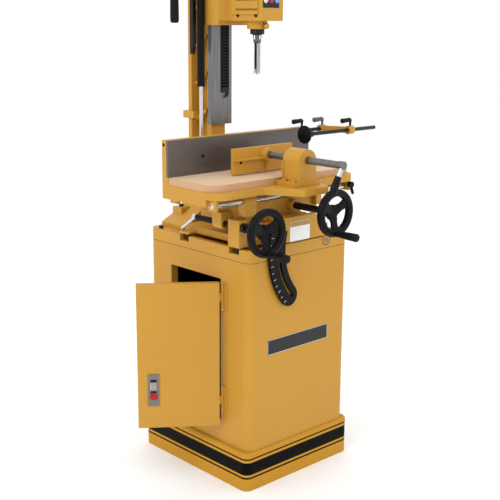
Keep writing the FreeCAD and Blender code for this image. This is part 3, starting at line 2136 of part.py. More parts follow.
# Head: casting, cover, chisel bushing, chisel, spindle, auger and motor
def head():
    nose = plate(
        "XY",
        [
            ("-head_half", "head_front"),
            ("head_half", "head_front"),
            ("head_half", "head_shoulder"),
            ("head_rear_half", "head_rear_front"),
            ("-head_rear_half", "head_rear_front"),
            ("-head_half", "head_shoulder"),
        ],
        "head_bottom",
        "head_top",
    )
    rear = block(
        "-head_rear_half",
        "head_rear_half",
        "head_rear_front",
        "head_rear_back",
        "head_rear_bottom",
        "head_rear_top",
    )
    flange = rod(
        "Z",
        "quill_across",
        "quill_depth",
        "motor_flange_radius",
        "head_top - motor_flange",
        "head_top",
    )
    boss = rod("Z", "quill_across", "quill_depth", "quill_boss", "quill_boss_bottom", "head_bottom")
    way_room = block(
        "-way_half - slide_gap",
        "way_half + slide_gap",
        "way_front - slide_gap",
        "way_front + way_thick + slide_gap",
        "head_rear_bottom - overrun",
        "head_rear_top + overrun",
    )
    neck_room = block(
        "-neck_half - running_gap",
        "neck_half + running_gap",
        "way_front",
        "head_rear_back + overrun",
        "head_rear_bottom - overrun",
        "head_rear_top + overrun",
    )
    rack_room = block(
        "rack_slot_left",
        "rack_slot_right",
        "way_front - feed_module * 2 / 3",
        "way_front + overrun",
        "head_rear_bottom - overrun",
        "head_rear_top + overrun",
    )
    pinion_room = rod(
        "X",
        "feed_depth",
        "feed_hub_level",
        "feed_module * (feed_teeth / 2 + mouth_share)",
        "rack_slot_left",
        "rack_slot_right",
    )
    axle_room = rod(
        "X",
        "feed_depth",
        "feed_hub_level",
        "feed_axle_radius + slide_gap",
        "-head_rear_half - overrun",
        "feed_axle_right + overrun",
    )
    chuck_space = rod("Z", "quill_across", "quill_depth", "chuck_room", "chuck_room_bottom", "chuck_room_top")
    collar_room = rod(
        "Z",
        "quill_across",
        "quill_depth",
        "collar_radius",
        "quill_boss_bottom - overrun",
        "chuck_room_bottom",
    )
    spindle_room = rod(
        "Z",
        "quill_across",
        "quill_depth",
        "spindle_radius + slide_gap",
        "chuck_room_bottom",
        "spindle_top + overrun",
    )
    window = block(
        "-head_half - overrun",
        "quill_across",
        "quill_depth - window_half",
        "quill_depth + window_half",
        "window_low",
        "window_high",
    )
    stop_lug = block(
        "stop_bar_left - stop_lug_margin",
        "-head_rear_half + overrun",
        "head_rear_back - stop_lug_margin",
        "stop_bar_back + stop_lug_margin",
        "stop_lug_low",
        "stop_lug_high",
    )
    stop_room = block(
        "stop_bar_left",
        "stop_bar_right",
        "stop_bar_front",
        "stop_bar_back",
        "stop_lug_low - overrun",
        "stop_lug_high + overrun",
    )
    strut_lug = block(
        "strut_across - strut_seat_half",
        "-head_rear_half + overrun",
        "strut_depth - strut_seat_half",
        "strut_depth + strut_seat_half",
        "strut_top",
        "strut_top + strut_lug_tall",
    )
    solid = join(nose, rear, flange, boss, stop_lug, strut_lug)
    rooms = (
        way_room,
        neck_room,
        rack_room,
        pinion_room,
        axle_room,
        chuck_space,
        collar_room,
        spindle_room,
        window,
        stop_room,
    )
    keep("head_casting", cut(solid, *rooms))
    cover = plate(
        "YZ",
        [
            ("cover_front", "cover_low"),
            ("cover_back", "cover_low"),
            ("cover_back", "cover_high"),
            ("cover_front", "cover_high"),
        ],
        "-head_half - cover_thick",
        "-head_half",
    )
    keep("head_cover", rounded(cover, "cover_round", lambda edge, bounds: runs_along(edge, Vector(1, 0, 0))))
    bar = block(
        "stop_bar_left",
        "stop_bar_right",
        "stop_bar_front",
        "stop_bar_back",
        "stop_bar_bottom",
        "stop_bar_top",
    )
    point = plate(
        "YZ",
        [
            ("stop_bar_front - overrun", "stop_bar_bottom - overrun"),
            ("(stop_bar_front + stop_bar_back) / 2", "stop_bar_bottom - overrun"),
            ("stop_bar_front - overrun", "stop_bar_bottom + stop_bar_point"),
        ],
        "stop_bar_left - overrun",
        "stop_bar_right + overrun",
    )
    keep("depth_stop_bar", cut(bar, point))


AUGER_LIPS = 8


def chisel():
    collar = rod("Z", "quill_across", "quill_depth", "collar_radius", "collar_bottom", "chuck_room_bottom")
    nose = cone(
        "Z",
        "quill_across",
        "quill_depth",
        "bushing_low_radius",
        "bushing_high_radius",
        "bushing_bottom",
        "collar_bottom",
    )
    bore = rod(
        "Z",
        "quill_across",
        "quill_depth",
        "bushing_bore",
        "bushing_bottom - overrun",
        "chuck_room_bottom + overrun",
    )
    windows = block(
        "quill_across - collar_radius",
        "quill_across + collar_radius",
        "quill_depth - bushing_window / 2",
        "quill_depth + bushing_window / 2",
        "bushing_bottom + bushing_window * 2 / 3",
        "collar_bottom - bushing_window / 3",
    )
    keep("chisel_bushing", cut(join(collar, nose), bore, windows))
    shank = rod("Z", "quill_across", "quill_depth", "bushing_bore", "bushing_bottom", "quill_boss_bottom")
    blade = block(
        "quill_across - chisel_side / 2",
        "quill_across + chisel_side / 2",
        "quill_depth - chisel_side / 2",
        "quill_depth + chisel_side / 2",
        "chisel_bottom",
        "bushing_bottom + overrun",
    )
    hollow = rod(
        "Z",
        "quill_across",
        "quill_depth",
        "chisel_bore",
        "chisel_bottom - overrun",
        "quill_boss_bottom + overrun",
    )
    mouth = cone(
        "Z",
        "quill_across",
        "quill_depth",
        "chisel_mouth_radius",
        "chisel_bore",
        "chisel_bottom - overrun",
        "chisel_bottom + chisel_bore",
    )
    slot = block(
        "quill_across - chisel_side",
        "quill_across",
        "quill_depth - chisel_slot / 2",
        "quill_depth + chisel_slot / 2",
        "chisel_slot_low",
        "chisel_slot_high",
    )
    keep("hollow_chisel", cut(join(shank, blade), hollow, mouth, slot))
    core = rod("Z", "quill_across", "quill_depth", "auger_core", "auger_tip", "auger_top")
    collars = []
    for step in range(AUGER_LIPS):
        low = f"auger_tip + auger_pitch * {step} + auger_core"
        collars.append(
            cone(
                "Z",
                "quill_across",
                "quill_depth",
                "auger_radius",
                "auger_core",
                low,
                f"{low} + auger_pitch / 3",
            )
        )
    upper = rod("Z", "quill_across", "quill_depth", "auger_radius", "quill_boss_bottom", "auger_top")
    keep("auger_bit", join(core, *collars, upper))
    chuck = rod(
        "Z",
        "quill_across",
        "quill_depth",
        "chuck_radius",
        "chuck_bottom",
        "chuck_bottom + chuck_tall",
    )
    shaft = rod(
        "Z",
        "quill_across",
        "quill_depth",
        "spindle_radius",
        "chuck_bottom + chuck_tall",
        "spindle_top",
    )
    bit_room = rod(
        "Z", "quill_across", "quill_depth", "auger_radius", "chuck_bottom - overrun", "auger_top"
    )
    keep("spindle", cut(join(chuck, shaft), bit_room))


def motor():
    can = rod("Z", "quill_across", "quill_depth", "motor_radius", "head_top", "motor_top")
    keep("motor_body", can)
    lid = rod(
        "Z",
        "quill_across",
        "quill_depth",
        "cowl_radius",
        "motor_top",
        "motor_top + cowl_tall - cowl_edge",
    )
    crown = cone(
        "Z",
        "quill_across",
        "quill_depth",
        "cowl_radius",
        "cowl_radius - cowl_edge",
        "motor_top + cowl_tall - cowl_edge",
        "motor_top + cowl_tall",
    )
    keep("motor_cowl", join(lid, crown))


def head_feed():
    axle = rod("X", "feed_depth", "feed_hub_level", "feed_axle_radius", "feed_hub_left", "feed_axle_right")
    teeth = pinion("X", "feed_module", "feed_teeth", "feed_pinion_right - feed_pinion_left")
    put(teeth, "feed_pinion_left", "feed_depth", "feed_hub_level")
    keep("feed_pinion", join(axle, teeth))
    hub_right = "-head_rear_half - running_gap"
    hub = rod("X", "feed_depth", "feed_hub_level", "feed_hub_radius", "feed_hub_left", hub_right)
    arm = doc.addObject("Part::Cylinder", "Arm")
    bind(arm, "Radius", "lever_radius")
    bind(arm, "Height", "sqrt((lever_hub_plane - lever_plane) ^ 2 + lever_drop ^ 2)")
    arm.Placement.Rotation = Rotation(
        Vector(0, 0, 1),
        Vector(size("lever_plane") - size("lever_hub_plane"), 0, -size("lever_drop")),
    )
    put(arm, "lever_hub_plane", "feed_depth", "feed_hub_level")
    elbow = ball("lever_plane", "feed_depth", "feed_hub_level - lever_drop", "lever_radius")
    leg = rod(
        "Z",
        "lever_plane",
        "feed_depth",
        "lever_radius",
        "lever_grip_bottom + lever_handle_radius",
        "feed_hub_level - lever_drop",
    )
    axle_room = rod(
        "X",
        "feed_depth",
        "feed_hub_level",
        "feed_axle_radius",
        "feed_hub_left - overrun",
        f"{hub_right} + overrun",
    )
    keep("feed_lever", cut(join(hub, arm, elbow, leg), axle_room))
    handle = cone(
        "Z",
        "lever_plane",
        "feed_depth",
        "lever_handle_radius",
        "lever_handle_top_radius",
        "lever_grip_bottom",
        "lever_grip_top",
    )
    handle_room = rod(
        "Z",
        "lever_plane",
        "feed_depth",
        "lever_radius",
        "lever_grip_bottom + lever_handle_radius",
        "lever_grip_top + overrun",
    )
    keep("feed_lever_grip", cut(handle, handle_room))


def gas_strut():
    tube = rod("Z", "strut_across", "strut_depth", "strut_radius", "strut_bottom", "strut_top")
    room = rod(
        "Z",
        "strut_across",
        "strut_depth",
        "strut_rod_radius + slide_gap",
        "strut_bottom - overrun",
        "strut_top - strut_cap",
    )
    keep("gas_strut", cut(tube, room))
    keep(
        "strut_rod",
        rod("Z", "strut_across", "strut_depth", "strut_rod_radius", "strut_seat_level", "strut_rod_top"),
    )


plinth()
cabinet()
cabinet_hinges()
door()
base_casting()
tilt_clamp()
column()
column_way()
feed_rack()
tilt_casting()
tilt_quadrant()
cross_screw()
saddle()
lock_lever(
    "cross_lock_lever",
    "screw_across",
    "sleeve_end",
    "screw_level",
    0,
    "lock_rod_long",
    "lock_rod_angle",
)
table_feed()
table()
lock_lever(
    "table_lock_lever",
    "lock_lever_across",
    "guide_front - guide_radius * 2 - running_gap",
    "lock_lever_level",
    180,
    "table_lock_long",
    "table_lock_angle",
)
table_rack()
vise()
work_stop()
head()
chisel()
motor()
head_feed()
gas_strut()

doc.recompute()

# Check every object, then write one file per sub-part
for item in doc.Objects:
    if "Invalid" in item.State or "Error" in item.State:
        raise RuntimeError(f"{item.Name} ({item.Label}) is {item.State}")
for item in subparts:
    if item.Shape.isNull() or not item.Shape.isValid():
        raise RuntimeError(f"{item.Label} has no valid shape")

os.makedirs("parts", exist_ok=True)
for item in subparts:
    item.Shape.exportStep(f"parts/{item.Label}.step")
    bounds = item.Shape.BoundBox
    low = [round(value, 1) for value in (bounds.XMin, bounds.YMin, bounds.ZMin)]
    high = [round(value, 1) for value in (bounds.XMax, bounds.YMax, bounds.ZMax)]
    print(item.Label, len(item.Shape.Solids), low, high)
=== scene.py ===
import json
import math

import bmesh
import bpy
from mathutils import Matrix, Vector


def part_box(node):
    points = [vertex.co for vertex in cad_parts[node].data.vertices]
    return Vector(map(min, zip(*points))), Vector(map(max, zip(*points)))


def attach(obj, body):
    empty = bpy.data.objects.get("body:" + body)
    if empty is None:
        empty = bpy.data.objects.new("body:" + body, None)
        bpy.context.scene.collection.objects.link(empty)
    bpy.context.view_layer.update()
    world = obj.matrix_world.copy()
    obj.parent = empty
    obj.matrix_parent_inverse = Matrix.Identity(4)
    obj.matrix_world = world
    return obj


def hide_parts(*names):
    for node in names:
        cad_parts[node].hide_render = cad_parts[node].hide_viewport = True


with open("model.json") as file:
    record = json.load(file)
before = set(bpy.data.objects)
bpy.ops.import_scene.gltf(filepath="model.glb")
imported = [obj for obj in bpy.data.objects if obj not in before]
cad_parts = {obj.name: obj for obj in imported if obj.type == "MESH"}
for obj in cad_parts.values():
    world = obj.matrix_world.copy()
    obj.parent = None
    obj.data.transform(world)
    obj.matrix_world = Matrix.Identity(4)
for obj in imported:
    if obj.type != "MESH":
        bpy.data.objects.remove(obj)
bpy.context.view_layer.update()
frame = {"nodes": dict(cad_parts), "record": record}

scene = bpy.context.scene
nodes = frame["nodes"]

MM = 0.001
HALF = 0.5
QUARTER_TURN = math.pi / 2
FULL_TURN = 2 * math.pi
X = Vector((1, 0, 0))
Y = Vector((0, 1, 0))
Z = Vector((0, 0, 1))

# Camera at the photograph's place, turned to the machine's front left corner
CAMERA_PLACE = Vector((-1.95757, -2.11797, 1.33232))
CAMERA_HEADING = math.radians(42.96)
CAMERA_PITCH = math.radians(13.43)
CAMERA_ROLL = math.radians(-0.34)
CAMERA_LENS = 69.9
CAMERA_SENSOR = 36


def make_camera():
    forward = Vector(
        (
            math.sin(CAMERA_HEADING) * math.cos(CAMERA_PITCH),
            math.cos(CAMERA_HEADING) * math.cos(CAMERA_PITCH),
            -math.sin(CAMERA_PITCH),
        )
    )
    level = Vector((math.cos(CAMERA_HEADING), -math.sin(CAMERA_HEADING), 0))
    down = forward.cross(level)
    right = level * math.cos(CAMERA_ROLL) + down * math.sin(CAMERA_ROLL)
    down = down * math.cos(CAMERA_ROLL) - level * math.sin(CAMERA_ROLL)
    turn = Matrix((right, -down, -forward)).transposed().to_4x4()
    data = bpy.data.cameras.new("camera")
    data.lens = CAMERA_LENS
    data.sensor_width = CAMERA_SENSOR
    camera = bpy.data.objects.new("camera", data)
    camera.matrix_world = Matrix.Translation(CAMERA_PLACE) @ turn
    scene.collection.objects.link(camera)
    scene.camera = camera


make_camera()

# How a screen's value turns into light
SCREEN_TOP = 255
DARK_LIMIT = 0.04045
DARK_SLOPE = 12.92
CURVE_SHIFT = 0.055
CURVE_POWER = 2.4


# Shader helpers
def linear(colour):
    """A screen colour as the linear colour that a shader takes."""

    def channel(value):
        share = value / SCREEN_TOP
        if share <= DARK_LIMIT:
            return share / DARK_SLOPE
        return ((share + CURVE_SHIFT) / (1 + CURVE_SHIFT)) ** CURVE_POWER

    red, green, blue = colour
    return (channel(red), channel(green), channel(blue), 1)


def connect(tree, socket, value):
    """Feed a socket from another node's output, or set it to a value."""
    if isinstance(value, bpy.types.NodeSocket):
        tree.links.new(value, socket)
    else:
        socket.default_value = value


def add(tree, kind, sockets=None, **settings):
    """A shader node with its settings and its sockets."""
    item = tree.nodes.new("ShaderNode" + kind)
    for name, value in settings.items():
        setattr(item, name, value)
    for name, value in (sockets or {}).items():
        connect(tree, item.inputs[name], value)
    return item


def blend_colours(tree, share, first, second):
    item = add(tree, "Mix", {0: share, 6: first, 7: second}, data_type="RGBA")
    return item.outputs[2]


def math_of(tree, operation, first, second, clamp=False):
    item = add(tree, "Math", {0: first, 1: second}, operation=operation, use_clamp=clamp)
    return item.outputs[0]


def between(tree, value, low, high):
    """1 where a value lies between two bounds, and 0 elsewhere."""
    above = math_of(tree, "GREATER_THAN", value, low)
    below = math_of(tree, "LESS_THAN", value, high)
    return math_of(tree, "MULTIPLY", above, below)


def effect(name, inputs, outputs):
    """An empty shader group with its named inputs and outputs."""
    tree = bpy.data.node_groups.new(name, "ShaderNodeTree")
    for label, kind, value in inputs:
        socket = tree.interface.new_socket(label, in_out="INPUT", socket_type="NodeSocket" + kind)
        socket.default_value = value
    for label, kind in outputs:
        tree.interface.new_socket(label, in_out="OUTPUT", socket_type="NodeSocket" + kind)
    return tree, tree.nodes.new("NodeGroupInput").outputs, tree.nodes.new("NodeGroupOutput").inputs


def use(tree, group, **sockets):
    """A shared effect with some of its inputs set."""
    item = tree.nodes.new("ShaderNodeGroup")
    item.node_tree = group
    for name, value in sockets.items():
        connect(tree, item.inputs[name.replace("_", " ").title()], value)
    return item.outputs


# Effects shared by the finishes
EDGE_RADIUS = 2 * MM
EDGE_CONTRAST = 3.0
EDGE_SAMPLES = 4
BROAD_SCALE = 6.0
BROAD_DETAIL = 3.0
SKIN_SCALE = 700.0
SKIN_DETAIL = 2.0
LINE_SCALE = 200.0
LINE_DETAIL = 5.0
LINE_CHOPPINESS = 0.65
EVEN = (1.0, 1.0, 1.0)


def make_eased_edges():
    """Softens sharp edges and marks where they are."""
    tree, given, result = effect(
        "eased edges",
        [("Radius", "Float", EDGE_RADIUS), ("Contrast", "Float", EDGE_CONTRAST)],
        [("Edge", "Float"), ("Normal", "Vector")],
    )
    bevel = add(tree, "Bevel", {"Radius": given["Radius"]}, samples=EDGE_SAMPLES)
    true_normal = add(tree, "NewGeometry").outputs["True Normal"]
    agreeing = add(tree, "VectorMath", {0: bevel.outputs[0], 1: true_normal}, operation="DOT_PRODUCT")
    differing = math_of(tree, "SUBTRACT", 1.0, agreeing.outputs["Value"])
    tree.links.new(math_of(tree, "MULTIPLY", differing, given["Contrast"], clamp=True), result["Edge"])
    tree.links.new(bevel.outputs[0], result["Normal"])
    return tree


def make_mottle():
    """Broad changes of tone and a fine skin, such as sprayed paint or moulded grain."""
    tree, given, result = effect(
        "mottle",
        [("Broad Scale", "Float", BROAD_SCALE), ("Skin Scale", "Float", SKIN_SCALE)],
        [("Tone", "Float"), ("Skin", "Float")],
    )
    place = add(tree, "TexCoord").outputs["Object"]
    broad = add(tree, "TexNoise", {"Vector": place, "Scale": given["Broad Scale"], "Detail": BROAD_DETAIL})
    skin = add(tree, "TexNoise", {"Vector": place, "Scale": given["Skin Scale"], "Detail": SKIN_DETAIL})
    tree.links.new(broad.outputs[0], result["Tone"])
    tree.links.new(skin.outputs[0], result["Skin"])
    return tree


def make_drawn_lines():
    """Noise drawn out along one direction, such as grinding marks or wood fibres."""
    tree, given, result = effect(
        "drawn lines",
        [("Stretch", "Vector", EVEN), ("Scale", "Float", LINE_SCALE)],
        [("Lines", "Float")],
    )
    place = add(tree, "TexCoord").outputs["Object"]
    drawn = add(tree, "VectorMath", {0: place, 1: given["Stretch"]}, operation="MULTIPLY").outputs[0]
    lines = add(
        tree,
        "TexNoise",
        {"Vector": drawn, "Scale": given["Scale"], "Detail": LINE_DETAIL, "Roughness": LINE_CHOPPINESS},
    )
    tree.links.new(lines.outputs[0], result["Lines"])
    return tree


eased_edges = make_eased_edges()
mottle = make_mottle()
drawn_lines = make_drawn_lines()


def empty_material(name):
    material = bpy.data.materials.new(name)
    material.use_nodes = True
    tree = material.node_tree
    tree.nodes.clear()
    return material, tree


def close_material(tree, sockets):
    """Join a Principled shader to the output."""
    shader = add(tree, "BsdfPrincipled", sockets)
    output = tree.nodes.new("ShaderNodeOutputMaterial")
    tree.links.new(shader.outputs[0], output.inputs[0])


def spread(tree, value, low, high):
    """A 0 to 1 value mapped to another range."""
    item = add(tree, "MapRange", {"Value": value, "To Min": low, "To Max": high})
    return item.outputs[0]


def bump(tree, height, normal, strength, depth):
    item = add(tree, "Bump", {"Strength": strength, "Distance": depth, "Height": height, "Normal": normal})
    return item.outputs[0]


# Paint: how rough, how bumpy and how shiny
PAINT_ROUGH = 0.42
PAINT_SPREAD = 0.06
PAINT_SHINE = 0.35
PEEL = 0.2
PEEL_DEEP = 0.15 * MM
CAST_PEEL = 0.35
PLATE_PEEL = 0.1
CASTING_EDGE = 2.5 * MM
SHEET_EDGE = 1.5 * MM
GREY_EDGE = 1 * MM
PLATE_EDGE = 0.4 * MM


def paint_colours(tree, colours, skin, edges):
    """Paint with a faint change of tone and lighter edges."""
    colour, shade, edge_colour = [linear(each) for each in colours]
    toned = blend_colours(tree, skin["Tone"], colour, shade)
    # Half the edge mask lightens the paint along sharp edges
    return blend_colours(tree, math_of(tree, "MULTIPLY", edges["Edge"], HALF), toned, edge_colour)


def close_paint(tree, colour, skin, edges, rough, peel, shine, peel_deep=PEEL_DEEP):
    close_material(
        tree,
        {
            "Base Color": colour,
            "Roughness": spread(tree, skin["Tone"], rough - PAINT_SPREAD, rough + PAINT_SPREAD),
            "Normal": bump(tree, skin["Skin"], edges["Normal"], peel, peel_deep),
            "Specular IOR Level": shine,
        },
    )


def enamel(name, colours, radius, rough, peel, shine):
    """Sprayed enamel over a casting or sheet."""
    material, tree = empty_material(name)
    edges = use(tree, eased_edges, radius=radius)
    skin = use(tree, mottle)
    close_paint(tree, paint_colours(tree, colours, skin, edges), skin, edges, rough, peel, shine)
    return material


# Metal: how its marks change its roughness and relief
METAL_EDGE = 0.6 * MM
FENCE_EDGE = 0.8 * MM
METAL_SMOOTHER = 0.08
METAL_ROUGHER = 0.1
MARK_STRENGTH = 0.15
MARK_DEEP = 0.1 * MM


def machined(name, colour, dark, stretch, scale, rough, radius=METAL_EDGE, metal=1.0):
    """Ground, drawn or polished metal, with its marks along one direction."""
    material, tree = empty_material(name)
    edges = use(tree, eased_edges, radius=radius)
    lines = use(tree, drawn_lines, stretch=stretch, scale=scale)["Lines"]
    close_material(
        tree,
        {
            "Base Color": blend_colours(tree, lines, linear(dark), linear(colour)),
            "Metallic": metal,
            "Roughness": spread(tree, lines, rough - METAL_SMOOTHER, rough + METAL_ROUGHER),
            "Normal": bump(tree, lines, edges["Normal"], MARK_STRENGTH, MARK_DEEP),
        },
    )
    return material


# Mouldings: their edges, grain and shine
MOULD_EDGE = 0.8 * MM
MOULD_BROAD_SCALE = 25.0
GRAIN_SCALE = 1800.0
GRAIN = 0.3
GRAIN_DEEP = 0.12 * MM
SMOOTH_GRAIN = 0.1
PRINT_GRAIN = 0.05
MOULD_SMOOTHER = 0.05
MOULD_ROUGHER = 0.08
MOULD_SHINE = 0.15


def moulded(name, colour, shade, rough, grain=GRAIN):
    """Moulded plastic or rubber with a fine grain."""
    material, tree = empty_material(name)
    edges = use(tree, eased_edges, radius=MOULD_EDGE)
    skin = use(tree, mottle, broad_scale=MOULD_BROAD_SCALE, skin_scale=GRAIN_SCALE)
    close_material(
        tree,
        {
            "Base Color": blend_colours(tree, skin["Tone"], linear(colour), linear(shade)),
            "Roughness": spread(tree, skin["Tone"], rough - MOULD_SMOOTHER, rough + MOULD_ROUGHER),
            "Normal": bump(tree, skin["Skin"], edges["Normal"], grain, GRAIN_DEEP),
            "Specular IOR Level": MOULD_SHINE,
        },
    )
    return material


# Paint colours: main, shade and lighter edge
GOLD = ((193, 143, 49), (184, 134, 41), (212, 168, 80))
BLACK = ((8, 8, 9), (15, 15, 16), (48, 48, 50))
GREY = ((70, 71, 73), (62, 63, 65), (96, 97, 99))
PLATE_BLACK = ((18, 18, 19), (26, 26, 27), (60, 60, 60))
NEAR_BLACK = (5, 4, 4)

# Plinth and cabinet: levels of the bands, and of the painted shade inside the cabinet and along its top seam
BAND_LOW = 50 * MM
BAND_HIGH = 88 * MM
PINSTRIPES = ((37.5 * MM, 43 * MM), (96 * MM, 100.5 * MM))
PLINTH_EDGE = 3 * MM
PLINTH_SHINE = 0.06
JAMB_DEEP = 30 * MM
SEAM_SHADOW_TALL = 1.2 * MM
CABINET_EDGE = 2 * MM
CABINET_BROAD_SCALE = 3.0
CABINET_PEEL = 0.15
CABINET_PEEL_DEEP = 0.12 * MM
CABINET_SHINE = 0.3


def plinth_paint():
    """Gold enamel with a black band and a thin stripe on either side of it."""
    material, tree = empty_material("banded enamel")
    edges = use(tree, eased_edges, radius=PLINTH_EDGE)
    skin = use(tree, mottle)
    place = add(tree, "TexCoord").outputs["Object"]
    height = add(tree, "SeparateXYZ", {0: place}).outputs["Z"]
    stripes = between(tree, height, BAND_LOW, BAND_HIGH)
    for low, high in PINSTRIPES:
        stripes = math_of(tree, "ADD", stripes, between(tree, height, low, high))
    gold = paint_colours(tree, GOLD, skin, edges)
    banded = blend_colours(tree, stripes, gold, linear(NEAR_BLACK))
    close_paint(tree, banded, skin, edges, PAINT_ROUGH, PEEL, PLINTH_SHINE)
    return material


def cabinet_paint():
    """Gold enamel outside, with painted shade on the sheet's inner faces and a painted shadow line along its
    top seam.
    """
    material, tree = empty_material("cabinet enamel")
    edges = use(tree, eased_edges, radius=CABINET_EDGE)
    skin = use(tree, mottle, broad_scale=CABINET_BROAD_SCALE)
    low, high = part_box("cabinet")
    coordinates = add(tree, "TexCoord").outputs
    place = coordinates["Object"]
    parts = add(tree, "SeparateXYZ", {0: place}).outputs
    # Painted shade: the sheet's inner faces (all but those near the left jamb) and a thin band along the top
    # seam turn near black
    outward = add(tree, "VectorMath", {0: place, 1: (low + high) / 2}, operation="SUBTRACT").outputs[0]
    facing_out = add(tree, "VectorMath", {0: outward, 1: coordinates["Normal"]}, operation="DOT_PRODUCT")
    painted_inner_shade = math_of(tree, "LESS_THAN", facing_out.outputs["Value"], 0.0)
    front_half = math_of(tree, "LESS_THAN", parts["Y"], 0.0)
    deep = math_of(tree, "GREATER_THAN", parts["X"], low.x + JAMB_DEEP)
    painted_inner_shade = math_of(tree, "MULTIPLY", painted_inner_shade, math_of(tree, "MAXIMUM", deep, front_half))
    painted_seam_shadow = math_of(tree, "GREATER_THAN", parts["Z"], high.z - SEAM_SHADOW_TALL)
    # dark is the painted shade: the inner faces and the seam's shadow line
    dark = math_of(tree, "MAXIMUM", painted_inner_shade, painted_seam_shadow)
    gold = paint_colours(tree, GOLD, skin, edges)
    colour = blend_colours(tree, dark, gold, linear(NEAR_BLACK))
    close_paint(tree, colour, skin, edges, PAINT_ROUGH, CABINET_PEEL, CABINET_SHINE, CABINET_PEEL_DEEP)
    return material


# Beech: two tones of fibre, darker flecks and a darker colour on every face that does not face up
BEECH_DARK = (204, 172, 138)
BEECH_LIGHT = (220, 196, 168)
BEECH_FLECK = (182, 138, 96)
BEECH_SIDE_TONE = (186, 138, 92)
BEECH_EDGE = 1.5 * MM
BEECH_ROUGH = (0.45, 0.6)
FIBRE_STRETCH = (0.6, 14.0, 14.0)
FIBRE_SCALE = 7.0
FLECK_STRETCH = (1.0, 9.0, 9.0)
FLECK_SCALE = 70.0
FLECK_SHARPNESS = 3.0
FLECK_SHARE = 0.7
FLECK_RELIEF = 0.2
SIDE_TONE_SHARE = 0.75


def beech():
    """Light beech with its fibres along the board and short dark flecks."""
    material, tree = empty_material("beech")
    edges = use(tree, eased_edges, radius=BEECH_EDGE)
    fibres = use(tree, drawn_lines, stretch=FIBRE_STRETCH, scale=FIBRE_SCALE)["Lines"]
    flecks = use(tree, drawn_lines, stretch=FLECK_STRETCH, scale=FLECK_SCALE)["Lines"]
    toned = blend_colours(tree, fibres, linear(BEECH_DARK), linear(BEECH_LIGHT))
    fleck_share = spread(tree, math_of(tree, "POWER", flecks, FLECK_SHARPNESS), 0.0, FLECK_SHARE)
    toned = blend_colours(tree, fleck_share, toned, linear(BEECH_FLECK))
    facing_up = add(tree, "SeparateXYZ", {0: add(tree, "TexCoord").outputs["Normal"]}).outputs["Z"]
    side_tone_share = math_of(tree, "MULTIPLY", math_of(tree, "LESS_THAN", facing_up, HALF), SIDE_TONE_SHARE)
    close_material(
        tree,
        {
            "Base Color": blend_colours(tree, side_tone_share, toned, linear(BEECH_SIDE_TONE)),
            "Roughness": spread(tree, fibres, *BEECH_ROUGH),
            "Normal": bump(tree, flecks, edges["Normal"], FLECK_RELIEF, MARK_DEEP),
        },
    )
    return material


# Printed film: pale tones and a tan band above one level
FILM_SHADE = (226, 226, 224)
FILM_PALE = (240, 240, 238)
FILM_TAN = (176, 134, 62)
FILM_BAND_LOW = 759 * MM
FILM_EDGE = 0.5 * MM
FILM_BROAD_SCALE = 40.0
FILM_ROUGH = (0.35, 0.5)
FILM_PEEL = 0.1
FILM_PEEL_DEEP = 0.05 * MM


def printed_plate():
    """Pale printed film with a tan band along its top."""
    material, tree = empty_material("printed film")
    edges = use(tree, eased_edges, radius=FILM_EDGE)
    skin = use(tree, mottle, broad_scale=FILM_BROAD_SCALE)
    place = add(tree, "TexCoord").outputs["Object"]
    height = add(tree, "SeparateXYZ", {0: place}).outputs["Z"]
    banded = math_of(tree, "GREATER_THAN", height, FILM_BAND_LOW)
    pale = blend_colours(tree, skin["Tone"], linear(FILM_SHADE), linear(FILM_PALE))
    close_material(
        tree,
        {
            "Base Color": blend_colours(tree, banded, pale, linear(FILM_TAN)),
            "Roughness": spread(tree, skin["Tone"], *FILM_ROUGH),
            "Normal": bump(tree, skin["Skin"], edges["Normal"], FILM_PEEL, FILM_PEEL_DEEP),
        },
    )
    return material


# Enamels: name, colours, edge radius, roughness, orange peel and shine
ENAMELS = {
    "gold_paint": ("cast enamel", GOLD, CASTING_EDGE, PAINT_ROUGH, CAST_PEEL, PAINT_SHINE),
    "sheet_paint": ("sheet enamel", GOLD, SHEET_EDGE, PAINT_ROUGH, PEEL, PAINT_SHINE),
    "black_paint": ("black enamel", BLACK, SHEET_EDGE, 0.4, 0.4, 0.12),
    "grey_paint": ("grey enamel", GREY, GREY_EDGE, 0.5, PEEL, PAINT_SHINE),
    "plate_black": ("plate black", PLATE_BLACK, PLATE_EDGE, 0.3, PLATE_PEEL, PAINT_SHINE),
}

# Metals: name, colour, darker lines, stretch and scale of the lines, roughness, edge radius and metal
WAY_STRETCH = (6.0, 6.0, 0.5)
CHISEL_STRETCH = (6.0, 6.0, 0.6)
FENCE_STRETCH = (1.0, 8.0, 8.0)
METALS = {
    "latch_metal": ("latch metal", (128, 122, 116), (104, 99, 94), EVEN, 70.0, 0.5, METAL_EDGE, 0.3),
    "ground_steel": ("ground way steel", (150, 149, 150), (84, 83, 86), WAY_STRETCH, 30.0, 0.34),
    "bright_steel": ("bright bar steel", (226, 226, 228), (190, 190, 193), EVEN, 60.0, 0.2),
    "chisel_steel": ("chisel steel", (206, 206, 208), (140, 140, 143), CHISEL_STRETCH, 40.0, 0.28),
    "nose_steel": ("nose steel", (120, 120, 122), (84, 84, 86), EVEN, 60.0, 0.35),
    "dark_steel": ("blackened steel", (62, 62, 64), (36, 36, 38), EVEN, 90.0, 0.4),
    "fence_steel": (
        "fence steel", (116, 111, 108), (98, 94, 92), FENCE_STRETCH, 22.0, 0.42, FENCE_EDGE, 0.85,
    ),
    "brass": ("brass", (206, 168, 92), (180, 140, 66), EVEN, 80.0, 0.3),
    "plate_silver": ("plate rim", (206, 204, 198), (176, 174, 168), EVEN, 120.0, 0.3),
}

